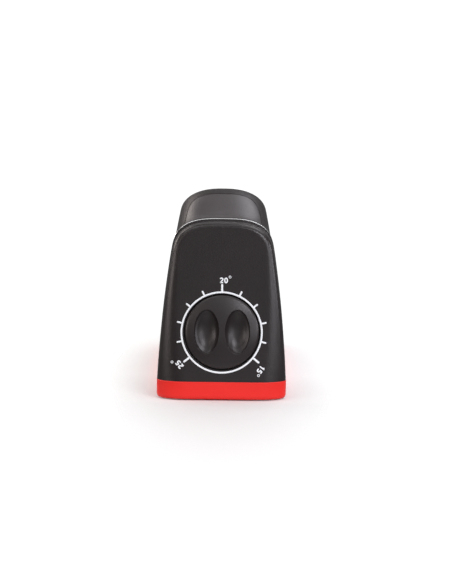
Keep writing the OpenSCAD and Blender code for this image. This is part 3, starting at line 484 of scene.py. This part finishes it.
def make_cover():
    """Front cover with its collar, the knob's pocket and bosses for shaft and screws."""
    steps, face_margin = 22, 0.25
    outside = [cover_ring(0, 0, BASE_TOP, face_margin)]
    outside += [cover_ring(math.pi / 2 * i / steps, 0, BASE_TOP) for i in range(steps + 1)]
    back = FRONT_Y + COVER_DEPTH
    # Steep step of the collar as drops from the top and distances from the back, then its rounded back edge
    for drop, ahead in ((COLLAR_H, COLLAR_D), (COLLAR_H - 0.05, COLLAR_D - 0.04), (0.03, 0.16)):
        section = arch(HEAD_H - drop, 0, drop * COLLAR_SIDE / COLLAR_H)
        outside.append(ring(section, back - ahead, FACE_SLOPE))
    for inset, ahead in ((0.0, 0.12), (0.06, 0.04), (0.2, 0.0)):
        outside.append(ring(arch(HEAD_H - inset, inset, inset), back - ahead, FACE_SLOPE))
    cover = loft("cover", outside)
    foot = BASE_TOP - OVER
    inside = [cover_ring(math.pi / 2 * i / 6, WALL, foot) for i in range(7)]
    inside.append(ring(arch(HEAD_H - WALL, WALL, WALL, foot), back + OVER, FACE_SLOPE))
    carve(cover, [loft("hollow", inside)])
    front_screws = [(x, y) for x, y in BASE_SCREWS if y < COARSE_Y]
    floor, rim, sleeve = POCKET_D + WALL, POCKET_R + WALL, SHAFT_R + WALL
    low, high = -floor - WALL, WALL - floor
    bosses = [
        lathe("boss", [(0, -floor), (rim, -floor), (rim, -WALL / 2), (0, -WALL / 2)], FACE),
        lathe("boss", [(0, low), (sleeve, low), (sleeve, high), (0, high)], FACE, 64),
    ]
    bosses += [vertical(x, y, BASE_TOP, BASE_TOP + BASE_SCREW_L, BOSS_R) for x, y in front_screws]
    carve(cover, bosses, "UNION")
    lip, out = 0.22, 8.0
    mouth = [(POCKET_R + lip * (1 - math.cos(a)), lip * (math.sin(a) - 1))
             for a in (math.radians(d) for d in range(0, 76, 15))]
    pocket = [(0, -POCKET_D), (POCKET_R, -POCKET_D)] + mouth + [(mouth[-1][0], out), (0, out)]
    bore_r, bore_d = SHAFT_R + 0.05, 40.0
    seat_r, seat_d = 3.95, POCKET_D + 1.8
    screw_top = BASE_SCREW_Z + BASE_SCREW_L + SCREW_TIP
    holes = [
        lathe("pocket", pocket, FACE, 256),
        lathe("bore", [(0, -bore_d), (bore_r, -bore_d), (bore_r, OVER), (0, OVER)], FACE, 64),
        lathe("seat", [(0, -seat_d), (seat_r, -seat_d), (seat_r, OVER), (0, OVER)], FACE, 64),
    ]
    holes += [vertical(x, y, BASE_SCREW_Z, screw_top, SCREW_R) for x, y in front_screws]
    carve(cover, holes)
    return dress(cover, cover_black, replaces="front_cover")


def make_trim():
    """Metal frame between cover and body, with rounded outer edges."""
    edge = 0.3
    profile = [(TRIM_RAIL, 0.0)]
    for i in range(6):
        a = math.pi / 2 * i / 5
        profile.append((edge * (1 - math.sin(a)), edge * (1 - math.cos(a))))
    for i in range(6):
        a = math.pi / 2 * i / 5
        profile.append((edge * (1 - math.cos(a)), TRIM_T - edge * (1 - math.sin(a))))
    profile.append((TRIM_RAIL, TRIM_T))
    rings = []
    for inset, depth in profile:
        section = arch(HEAD_H + TRIM_PROUD - inset, inset, inset)
        rings.append(ring(section, FRONT_Y + COVER_DEPTH + depth / math.cos(FACE_LEAN), FACE_SLOPE))
    n, m = len(rings[0]), len(rings)
    points = [p for r in rings for p in r]
    faces = [(k * n + i, ((k + 1) % m) * n + i, ((k + 1) % m) * n + i + 1, k * n + i + 1)
             for k in range(m) for i in range(n - 1)]
    faces.append(tuple(k * n for k in reversed(range(m))))
    faces.append(tuple(k * n + n - 1 for k in range(m)))
    return dress(make("trim", points, faces), chrome, replaces="chrome_trim")


def on_cover(tree, u, v, lift):
    """Point over the cover's skin at a place on the face."""
    start = FACE @ Vector((u, v, PRINT_START))
    hit = tree.ray_cast(start * MM, FACE.to_3x3() @ Vector((0, 0, -1)))
    place = FACE.inverted() @ (hit[0] / MM)
    return (u, v, place.z + lift)


def lay_print(name, tree, points, faces):
    """Thin print that follows the cover's skin, from flat points on the face."""
    du, dv = PRINT_SHIFT
    laid = [FACE @ Vector(on_cover(tree, u + du, v + dv, PRINT_LIFT)) for u, v in points]
    obj = make(name, laid, faces)
    thick = obj.modifiers.new("ink", "SOLIDIFY")
    thick.thickness = PRINT_T * MM
    thick.offset = -1
    return dress(obj, print_white, weighted=False)


def dial_point(angle, radius, along=0.0):
    """Place on the face at an angle clockwise from the top, a radius and a distance along the rim."""
    s, c = math.sin(angle), math.cos(angle)
    return (radius * s + along * c, radius * c - along * s)


def tick_shape(angle, inner, outer, width):
    """Bar with a round outer end, as points and faces on the face."""
    half = width / 2
    points, faces = [], []
    rows = 8
    for i in range(rows + 1):
        r = mix(inner, outer - half, i / rows)
        points += [dial_point(angle, r, along) for along in (-half, 0.0, half)]
    for i in range(rows):
        for j in range(2):
            a = i * 3 + j
            faces.append((a, a + 1, a + 4, a + 3))
    centre = rows * 3 + 1
    tip = [rows * 3]
    for i in range(1, 8):
        t = math.pi * i / 8
        tip.append(len(points))
        points.append(dial_point(angle, outer - half + half * math.sin(t), -half * math.cos(t)))
    tip.append(rows * 3 + 2)
    faces += [(centre, tip[i + 1], tip[i]) for i in range(8)]
    return points, faces


def arc(cx, cy, rx, ry, start, end, steps=18):
    """Points along an elliptic arc, angles in degrees from the right, anticlockwise."""
    angles = [math.radians(mix(start, end, i / steps)) for i in range(steps + 1)]
    return [(cx + rx * math.cos(t), cy + ry * math.sin(t)) for t in angles]


# Strokes of the digits in a box of height 1, drawn along their middle lines
DIGITS = {
    "0": [arc(0.33, 0.5, 0.23, 0.40, 90, 450, 36)],
    "1": [[(0.40, 0.0), (0.40, 0.5), (0.40, 1.0)], [(0.40, 0.92), (0.30, 0.80), (0.16, 0.72)]],
    "2": [
        arc(0.32, 0.68, 0.22, 0.22, 165, -35) + [(0.30, 0.36), (0.10, 0.12)],
        [(0.06, 0.10), (0.32, 0.10), (0.60, 0.10)],
    ],
    "5": [
        [(0.56, 0.90), (0.36, 0.90), (0.14, 0.90)],
        [(0.18, 0.94), (0.15, 0.72), (0.12, 0.48)],
        arc(0.30, 0.33, 0.24, 0.23, 130, -150),
    ],
}
STROKE = 0.115
ADVANCE = 0.78
DIGIT_W = 0.66


def stroke(points, half):
    """Band of a half width along a line of points, as points and faces."""
    laid, faces = [], []
    last = len(points) - 1
    for i, (x, y) in enumerate(points):
        before, after = points[max(i - 1, 0)], points[min(i + 1, last)]
        dx, dy = after[0] - before[0], after[1] - before[1]
        if points[0] == points[last] and i in (0, last):
            dx, dy = points[1][0] - points[last - 1][0], points[1][1] - points[last - 1][1]
        size = math.hypot(dx, dy)
        laid += [(x - dy / size * half * side, y + dx / size * half * side) for side in (-1, 0, 1)]
    for i in range(last):
        for j in (0, 1):
            k = 3 * i + j
            faces.append((k, k + 3, k + 4, k + 1))
    return laid, faces


def number(body, height):
    """Points and faces of a number, centred on its box."""
    points, faces = [], []
    width = ADVANCE * (len(body) - 1) + DIGIT_W
    for place, digit in enumerate(body):
        for line in DIGITS[digit]:
            laid, skin = stroke(line, STROKE)
            faces += [tuple(f + len(points) for f in face) for face in skin]
            points += [((x + ADVANCE * place - width / 2) * height, (y - 0.5) * height) for x, y in laid]
    return points, faces


def annulus(cu, cv, inner, outer, segments, rows=2):
    """Flat ring about a centre, as points and faces on the face."""
    points, faces = [], []
    angles = [2 * math.pi * i / segments for i in range(segments)]
    for k in range(rows + 1):
        r = mix(inner, outer, k / rows)
        points += [(cu + r * math.sin(a), cv + r * math.cos(a)) for a in angles]
    for k in range(rows):
        a, b = k * segments, (k + 1) * segments
        for i in range(segments):
            j = (i + 1) % segments
            faces.append((b + i, b + j, a + j, a + i))
    return points, faces


RING_IN = 19.66
RING_OUT = 20.56
TICK_LONG, TICK_WIDE = 3.7, 1.0
TICK_SHORT, TICK_THIN = 2.45, 0.9
TICK_ROOT = 0.2
TICKS_ASIDE = 5
NUMBER_H = 2.86
DEGREE_IN, DEGREE_OUT = 0.38, 0.68
PRINT_SHIFT = (-0.2, -0.2)
PRINT_START = 20.0
PRINT_LIFT = 0.03
PRINT_T = 0.06
# Number, its end of the dial, and in millimetres its radius and its shift along the rim
LABELS = (("25", -1, 26.5, 0.27), ("20", 0, 26.1, 0.8), ("15", 1, 26.9, 1.97))
# Places of the degree signs, as radius and shift
DEGREES = {"25": (28.6, 3.6), "20": (27.8, 3.9), "15": (27.9, 5.0)}


def make_scale(cover):
    """White ring, ticks and numbers printed round the knob."""
    tree = BVHTree.FromObject(cover, bpy.context.evaluated_depsgraph_get())
    lay_print("dial_ring", tree, *annulus(0, 0, RING_IN, RING_OUT, 240, 3))
    points, faces = [], []
    for i in range(-TICKS_ASIDE, TICKS_ASIDE + 1):
        angle = math.radians(DIAL_TURN * i / TICKS_ASIDE)
        numbered = i in (-TICKS_ASIDE, 0, TICKS_ASIDE)
        length, width = (TICK_LONG, TICK_WIDE) if numbered else (TICK_SHORT, TICK_THIN)
        more, skin = tick_shape(angle, RING_OUT - TICK_ROOT, RING_OUT + length, width)
        faces += [tuple(f + len(points) for f in face) for face in skin]
        points += more
    lay_print("dial_ticks", tree, points, faces)
    for body, side, radius, along in LABELS:
        angle = math.radians(DIAL_TURN) * side
        flat, skin = number(body, NUMBER_H)
        laid = [dial_point(angle, radius + y, along + x) for x, y in flat]
        lay_print("number_" + body, tree, laid, skin)
        cu, cv = dial_point(angle, *DEGREES[body])
        lay_print("degree_" + body, tree, *annulus(cu, cv, DEGREE_IN, DEGREE_OUT, 32, 1))


def make_knob():
    """Domed knob with two finger dents whose edges are softly rounded."""
    rise = KNOB_DOME - KNOB_RIM
    flat_r = KNOB_R - KNOB_EDGE
    dome_r = (flat_r ** 2 + rise ** 2) / (2 * rise)
    soft, fullness, blend = 0.06, 0.55, 0.5
    gap, chamfer, socket = 0.4, 0.3, 4.0
    bore_r = SHAFT_R + 0.02
    level = KNOB_DOME - dome_r + math.sqrt(dome_r ** 2 - DENT_X ** 2)

    def height(u, v):
        dome = KNOB_DOME - dome_r + math.sqrt(dome_r ** 2 - u * u - v * v)
        inside = 1 - ((abs(u) - DENT_X) / (DENT_W / 2)) ** 2 - (v / (DENT_L / 2)) ** 2
        if inside <= 0:
            return dome
        start = mix(dome, level, smooth(min(inside / blend, 1)))
        return start - DENT_D * (inside * inside / (inside + soft)) ** fullness

    segments, rows = 360, 130
    points = [FACE @ Vector((0, 0, height(0, 0)))]
    radii = [flat_r * (k + 1) / rows for k in range(rows)]
    for r in radii:
        for i in range(segments):
            a = 2 * math.pi * i / segments
            u, v = r * math.cos(a), r * math.sin(a)
            points.append(FACE @ Vector((u, v, height(u, v))))
    back = gap - POCKET_D
    start = math.asin(flat_r / dome_r)
    rim = []
    for i in range(1, 9):
        a = mix(start, math.pi / 2, i / 8)
        rim.append((flat_r - KNOB_EDGE * math.sin(start) + KNOB_EDGE * math.sin(a),
                    KNOB_RIM - KNOB_EDGE * math.cos(start) + KNOB_EDGE * math.cos(a)))
    grow = KNOB_R / rim[-1][0]
    rim = [(r * mix(1, grow, (i + 1) / 8), w) for i, (r, w) in enumerate(rim)]
    rim += [(KNOB_R, back + chamfer), (KNOB_R - chamfer, back), (bore_r, back), (bore_r, back + socket)]
    for r, w in rim:
        for i in range(segments):
            a = 2 * math.pi * i / segments
            points.append(FACE @ Vector((r * math.cos(a), r * math.sin(a), w)))
    faces = []
    total = rows + len(rim)
    for i in range(segments):
        j = (i + 1) % segments
        faces.append((0, 1 + i, 1 + j))
        for k in range(total - 1):
            a, b = 1 + k * segments, 1 + (k + 1) * segments
            faces.append((a + i, b + i, b + j, a + j))
    faces.append(tuple(1 + (total - 1) * segments + i for i in range(segments)))
    knob = make("knob_cap", points, faces)
    return dress(knob, knob_black, body="knob", replaces="angle_knob", angle=50,
                 weighted=False)


# Body halves, inlay and saddles


def rise_top(t):
    """Top of the handle's front slope, from the deck at 0 to the crest at 1."""
    return mix(DECK_H, CREST_H, smooth(t))


def body_rings():
    """Row of rings from the trim over deck and handle to the rear face."""
    edge = 0.15
    rows = [ring(arch(HEAD_H - edge, edge, edge), BODY_Y, FACE_SLOPE),
            ring(arch(HEAD_H), BODY_Y + edge, FACE_SLOPE)]
    for i in range(1, 17):
        t = i / 16
        section = arch(mix(HEAD_H, DECK_H, smooth(t)))
        rows.append(ring(section, mix(BODY_Y, DECK_START, t), mix(FACE_SLOPE, 0, t)))
    for i in range(33):
        t = i / 32
        rows.append(ring(arch(rise_top(t)), mix(DECK_END, CREST_Y, t), 0))
    for i in range(1, 16):
        t = i / 16
        section = arch(CREST_H - TAIL_FALL * t ** TAIL_POWER)
        rows.append(ring(section, mix(CREST_Y, REAR_Y - REAR_EDGE_D, t), REAR_SLOPE * t))
    for i in range(25):
        a = math.pi / 2 * (1 - i / 24)
        share = 1 - math.sin(a)
        inset = share * REAR_EDGE_W
        fall = TAIL_FALL + TAIL_ROLL * math.cos(a) + (REAR_EDGE_FALL - TAIL_ROLL) * share
        section = arch(CREST_H - fall, inset, inset)
        rows.append(ring(section, REAR_Y - REAR_EDGE_D * (1 - math.cos(a)), REAR_SLOPE))
    return rows


def grip_ring(side, turn, more=0.0, x=None, steps=144):
    """Ring of the hand opening at a turn of its rounded edge."""
    points = []
    out = GRIP_EDGE * (1 - math.cos(turn)) + more
    for i in range(steps):
        a = 2 * math.pi * i / steps
        c = math.copysign(abs(math.cos(a)) ** (2 / GRIP_POWER), math.cos(a))
        s = math.copysign(abs(math.sin(a)) ** (2 / GRIP_POWER), math.sin(a))
        z = GRIP_Z + (GRIP_H / 2 + out) * s
        deep = half_width(z) - GRIP_EDGE * (1 - math.sin(turn)) + more * math.tan(math.pi / 2 - turn)
        points.append((side * (x or deep), GRIP_Y - (GRIP_L / 2 + out) * c, z))
    return points


def hand_opening():
    """Cutter for the hand opening, with rounded edges at both sides."""
    last = math.radians(82)
    turns = [last * i / 9 for i in range(10)]
    flare, beyond = 3.0, 6.0
    outside = BASE_W / 2 + beyond
    rings = [grip_ring(-1, last, flare, outside), grip_ring(-1, last, flare)]
    rings += [grip_ring(-1, t) for t in reversed(turns)]
    rings += [grip_ring(1, t) for t in turns]
    rings += [grip_ring(1, last, flare), grip_ring(1, last, flare, outside)]
    return loft("opening", rings)


def top_z(x, top):
    """Height of the rounded top of a section at a distance from the middle."""
    tall, power = shoulder(top)
    share = min(abs(x) / half_width(top - tall / 5), 1)
    return top - tall + tall * (1 - share ** power) ** (1 / power)


def rise_share(y):
    """Share of the handle's front slope at a place along the body."""
    return (y - DECK_END) / (CREST_Y - DECK_END)


def inlay_wide(top):
    """Half width of the inlay where the slope has a height, just short of a point at its upper end."""
    climb = min((top - DECK_H) / (rise_top(rise_share(INLAY_END)) - DECK_H), 1) * INLAY_TIP
    return (half_width(top) - INLAY_BORDER) * (1 - climb ** INLAY_POWER) ** (1 / INLAY_POWER)


def inlay_slab(name, under, above, gap, across=36, along=48):
    """Slab that follows the rising top of the handle."""
    first = rise_share(INLAY_START - gap)
    last = rise_share(INLAY_END + gap)
    rings = []
    for k in range(along + 1):
        t = mix(first, last, 1 - (1 - k / along) ** 3)
        top = rise_top(t)
        wide = inlay_wide(top) + gap
        y = mix(DECK_END, CREST_Y, t)
        upper = [(wide * i / across, y) for i in range(across, -across - 1, -1)]
        rings.append([(x, y, top_z(x, top) + above) for x, y in upper]
                     + [(x, y, top_z(x, top) - under) for x, y in reversed(upper)])
    n = len(rings[0])
    slab = loft(name, rings, capped=False)
    work = bmesh.new()
    work.from_mesh(slab.data)
    work.verts.ensure_lookup_table()
    for start, back in ((0, False), ((len(rings) - 1) * n, True)):
        for i in range(n // 2 - 1):
            quad = [start + i, start + i + 1, start + n - 2 - i, start + n - 1 - i]
            work.faces.new([work.verts[v] for v in (reversed(quad) if back else quad)])
    work.to_mesh(slab.data)
    work.free()
    return slab


def make_body():
    """Two half shells, cut from one body with its cavity, hand opening, channels, recess and holes."""
    channel_gap, inlay_gap, clear = 0.08, 0.03, 4.0
    spine_in, spine_short, overlap = 8.0, 6.0, 0.5
    shell = loft("shell", body_rings())
    foot = BASE_TOP - OVER
    section = arch(DECK_H - WALL, WALL, WALL, foot, 12, 16)
    cutters = [loft("hollow", [ring(section, BODY_Y - OVER, FACE_SLOPE), ring(section, CAVITY_END, 0)])]
    cutters.append(hand_opening())
    for y in (COARSE_Y, FINE_Y):
        half = SADDLE_W / 2 + channel_gap
        cutters.append(block("channel", (-FAR, y - half, SADDLE_LOW - channel_gap), (FAR, y + half, FAR)))
    spine_half, spine_l = BASE_W / 2 - spine_in, GRIP_L - spine_short
    cutters.append(block("spine", (-spine_half, GRIP_Y - spine_l / 2, foot),
                         (spine_half, GRIP_Y + spine_l / 2, GRIP_Z - GRIP_H / 2 - 2 * WALL)))
    cutters.append(inlay_slab("recess", INLAY_T + INLAY_SINK, clear, inlay_gap))
    for x, y in BASE_SCREWS:
        if y > COARSE_Y:
            cutters.append(vertical(x, y, 0, BASE_SCREW_Z + BASE_SCREW_L + SCREW_TIP, SCREW_R))
    for y, z in BODY_SCREWS:
        cutters.append(sideways(y, z, -FAR, BODY_HEAD_X, HEAD_R + HEAD_GAP))
        cutters.append(sideways(y, z, BODY_HEAD_X - overlap, BODY_SCREW_END, SCREW_R))
    carve(shell, cutters)
    for side, name in ((-1, "left"), (1, "right")):
        half = shell.copy()
        half.data = shell.data.copy()
        half.name = "shell_" + name
        bpy.context.scene.collection.objects.link(half)
        low = -FAR if side < 0 else SEAM / 2
        high = -SEAM / 2 if side < 0 else FAR
        carve(half, [block("side", (low, -FAR, -FAR), (high, FAR, FAR))], "INTERSECT")
        dress(half, body_black, replaces="body_" + name)
    bpy.data.objects.remove(shell)


def make_inlay():
    """Grey inlay with a small rounded edge, sunk a little into the slope of the handle."""
    edge_w = 0.22
    slab = inlay_slab("inlay", INLAY_T + INLAY_SINK, -INLAY_SINK, 0)
    edge = slab.modifiers.new("edge", "BEVEL")
    edge.width = edge_w * MM
    edge.segments = 3
    edge.limit_method = "ANGLE"
    edge.angle_limit = math.radians(50)
    return dress(slab, inlay_grey, replaces="grip_inlay")


def slot_outline(y):
    """Knife slot in the Y-Z plane with a round floor and a flared mouth, anticlockwise seen from +X."""
    half = SLOT_W / 2
    mouth, flare = 2.6, 2.25
    start = DECK_H + SADDLE_PROUD - mouth
    right = [(half, SLOT_FLOOR + half), (half, start)]
    for i in range(1, 11):
        a = math.radians(8 * i)
        right.append((half + flare * (1 - math.cos(a)), start + mouth * math.sin(a)))
    right.append((right[-1][0], FAR))
    floor = [(half * math.sin(a), SLOT_FLOOR + half - half * math.cos(a))
             for a in (math.radians(d) for d in range(-75, 76, 15))]
    return ([(y + dy, z) for dy, z in floor] + [(y + dy, z) for dy, z in right]
            + [(y - dy, z) for dy, z in reversed(right)])


def make_saddle(name, y):
    """Band over the deck with rounded edges and a knife slot."""
    edge = 0.35
    rows = [(edge * (1 - math.cos(a)), edge * (1 - math.sin(a)))
            for a in (math.pi / 2 * i / 4 for i in range(5))]
    depths = rows + [(SADDLE_W - d, inset) for d, inset in reversed(rows)]
    rings = []
    for depth, inset in depths:
        section = arch(DECK_H + SADDLE_PROUD - inset, inset - SADDLE_PROUD, inset - SADDLE_PROUD)
        rings.append(ring(section, y - SADDLE_W / 2 + depth, 0))
    band = loft(name, rings)
    inner = arch(DECK_H - WALL, WALL, WALL, BASE_TOP - OVER)
    carve(band, [
        loft("hollow", [ring(inner, y - SADDLE_W, 0), ring(inner, y + SADDLE_W, 0)]),
        block("below", (-FAR, -FAR, -FAR), (FAR, FAR, SADDLE_LOW)),
        prism("slot", slot_outline(y), -FAR, FAR),
    ])
    return dress(band, saddle_black, replaces=name)


# Studio


# Camera: place in metres, angles in degrees, and focal length over the picture's height
CAMERA_PLACE = (0, -1.0, 0.161)
CAMERA_DOWN = 6.727
CAMERA_YAW = -0.1115
CAMERA_ROLL = 0.7
CAMERA_FOCAL = 1826 / 584
SENSOR = 36.0
# Strength of the white backdrop as the camera sees it, and of the light that it gives
BACKDROP_SEEN = 1.08
BACKDROP_LIGHT = 0.22
# Floor: half size in millimetres, a tone in front darkened with painted shade and the plain tone behind,
# and in metres the span of the painted shade and the range of the fade
FLOOR_HALF = 4000.0
FLOOR_FRONT_SHADE = (0.64, 0.63, 0.63)
FLOOR_BEHIND = (0.96, 0.96, 0.96)
FLOOR_SHADE_SPAN = (-0.11, -0.02)
FADE_STRETCH = (4.6, 1.0, 1.0)
FADE_RANGE = (0.10, 0.36)
LAMP_TARGET = Vector((0, -0.06, 0.05))
LAMP_REACH = 1.25
WARM = (1.0, 0.90, 0.85)
COOL = (0.96, 0.95, 1.0)
PLAIN = (1.0, 1.0, 1.0)


def make_camera():
    """Camera in front, looking a little down."""
    scene = bpy.context.scene
    camera = bpy.data.cameras.new("camera")
    camera.sensor_fit = "VERTICAL"
    camera.sensor_height = SENSOR
    camera.lens = SENSOR * CAMERA_FOCAL
    camera.clip_end = 50
    eye = bpy.data.objects.new("camera", camera)
    pitch = Matrix.Rotation(math.radians(90 - CAMERA_DOWN), 4, "X")
    yaw = Matrix.Rotation(math.radians(CAMERA_YAW), 4, "Z")
    roll = Matrix.Rotation(math.radians(CAMERA_ROLL), 4, "Z")
    eye.matrix_world = Matrix.Translation(CAMERA_PLACE) @ yaw @ pitch @ roll
    scene.collection.objects.link(eye)
    scene.camera = eye


def make_backdrop():
    """White backdrop that looks brighter than the light it gives."""
    world = bpy.data.worlds.new("studio")
    world.use_nodes = True
    tree = world.node_tree
    tree.nodes.clear()
    output = tree.nodes.new("ShaderNodeOutputWorld")
    seen = tree.nodes.new("ShaderNodeBackground")
    seen.inputs["Color"].default_value = (1, 1, 1, 1)
    seen.inputs["Strength"].default_value = BACKDROP_SEEN
    around = tree.nodes.new("ShaderNodeBackground")
    around.inputs["Color"].default_value = (1, 1, 1, 1)
    around.inputs["Strength"].default_value = BACKDROP_LIGHT
    path = tree.nodes.new("ShaderNodeLightPath")
    blend = tree.nodes.new("ShaderNodeMixShader")
    tree.links.new(path.outputs["Is Camera Ray"], blend.inputs["Fac"])
    tree.links.new(around.outputs["Background"], blend.inputs[1])
    tree.links.new(seen.outputs["Background"], blend.inputs[2])
    tree.links.new(blend.outputs["Shader"], output.inputs["Surface"])
    bpy.context.scene.world = world


def softbox(name, azimuth, elevation, size, power, colour):
    """Lamp at a turn to the right of the front and a height, both in degrees."""
    light = bpy.data.lights.new(name, "AREA")
    light.shape = "RECTANGLE"
    light.size, light.size_y = size
    light.energy = power
    light.color = colour
    obj = bpy.data.objects.new(name, light)
    turn, lift = math.radians(azimuth), math.radians(elevation)
    away = Vector((math.sin(turn) * math.cos(lift), -math.cos(turn) * math.cos(lift), math.sin(lift)))
    obj.location = LAMP_TARGET + LAMP_REACH * away
    obj.rotation_euler = (-away).to_track_quat("-Z", "Y").to_euler()
    obj.visible_camera = False
    bpy.context.scene.collection.objects.link(obj)


def make_lights():
    """Soft lights round the object, cool or plain at the right and warm or plain at the left."""
    softbox("right_front", 33, 39, (0.58, 0.36), 6.9, COOL)
    softbox("right_fill", 47, 15, (0.90, 0.32), 4.2, COOL)
    softbox("right_side", 82, 18, (0.34, 0.36), 3.4, COOL)
    softbox("right_back", 150, 46, (0.70, 0.45), 2.2, COOL)
    softbox("right_high", 105, 60, (0.60, 0.60), 1.9, PLAIN)
    softbox("left_side", -112, 23, (0.70, 0.42), 5.2, WARM)
    softbox("left_back", -149, 32, (0.50, 0.38), 1.2, WARM)
    softbox("left_fill", -64, 14, (0.80, 0.32), 3.8, WARM)
    softbox("left_front", -35, 32, (0.50, 0.40), 1.15, WARM)
    softbox("left_high", -75, 62, (0.60, 0.60), 2.2, PLAIN)
    softbox("front_low", 0, 11, (0.60, 0.30), 0.45, PLAIN)
    softbox("front_high", -4, 45, (0.40, 0.36), 0.5, PLAIN)
    softbox("back_high", 180, 32, (1.00, 0.20), 0.10, PLAIN)
    softbox("top_box", 0, 90, (0.90, 0.90), 3.0, PLAIN)


def make_floor():
    """Pale paper round the object, darker in front of it with painted shade, that fades out into the
    backdrop.
    """
    h = FLOOR_HALF
    floor = make("floor", [(-h, -h, 0), (h, -h, 0), (h, h, 0), (-h, h, 0)], [(0, 1, 2, 3)])
    material, tree, shader = new_material("paper")
    spot = tree.nodes.new("ShaderNodeTexCoord")
    apart = tree.nodes.new("ShaderNodeSeparateXYZ")
    tree.links.new(spot.outputs["Object"], apart.inputs["Vector"])
    # Painted shade: the paper's tone is darker in front of the object and turns to the plain tone behind it
    depth = spread(tree, apart.outputs["Y"], 0, 1, *FLOOR_SHADE_SPAN)
    tree.links.new(tint(tree, depth, FLOOR_FRONT_SHADE, FLOOR_BEHIND), shader.inputs["Base Color"])
    shader.inputs["Roughness"].default_value = 0.85
    bump(tree, shader, noise(tree, 900, 2), 0.05, 0.0001)
    length = tree.nodes.new("ShaderNodeVectorMath")
    length.operation = "LENGTH"
    stretch = tree.nodes.new("ShaderNodeVectorMath")
    stretch.operation = "MULTIPLY"
    stretch.inputs[1].default_value = FADE_STRETCH
    tree.links.new(spot.outputs["Object"], stretch.inputs[0])
    tree.links.new(stretch.outputs["Vector"], length.inputs[0])
    clear = tree.nodes.new("ShaderNodeBsdfTransparent")
    fade = tree.nodes.new("ShaderNodeMixShader")
    share = spread(tree, length.outputs["Value"], 0, 1, *FADE_RANGE, soft=True)
    tree.links.new(share, fade.inputs["Fac"])
    tree.links.new(shader.outputs["BSDF"], fade.inputs[1])
    tree.links.new(clear.outputs["BSDF"], fade.inputs[2])
    tree.links.new(fade.outputs["Shader"], tree.nodes["Material Output"].inputs["Surface"])
    floor.data.materials.append(material)


make_base()
cover_piece = make_cover()
make_trim()
make_scale(cover_piece)
make_knob()
make_body()
make_inlay()
make_saddle("coarse_saddle", COARSE_Y)
make_saddle("fine_saddle", FINE_Y)

FINISHES = {
    "rubber": rubber, "steel": steel, "cam_metal": cam_metal, "frame_plastic": nylon,
    "slide_plastic": acetal, "diamond_rod": diamond, "ceramic_rod": ceramic,
    "red_plastic": red, "cover_plastic": cover_black, "body_plastic": body_black,
    "knob_plastic": knob_black, "saddle_plastic": saddle_black, "inlay_plastic": inlay_grey,
    "trim_metal": chrome,
}
for part in frame["record"]["subparts"]:
    node = frame["nodes"][part["node"]]
    node.data.materials.clear()
    node.data.materials.append(FINISHES[part["material_slot"]])

bpy.context.scene.view_settings.view_transform = "Standard"
make_camera()
make_backdrop()
make_lights()
make_floor()
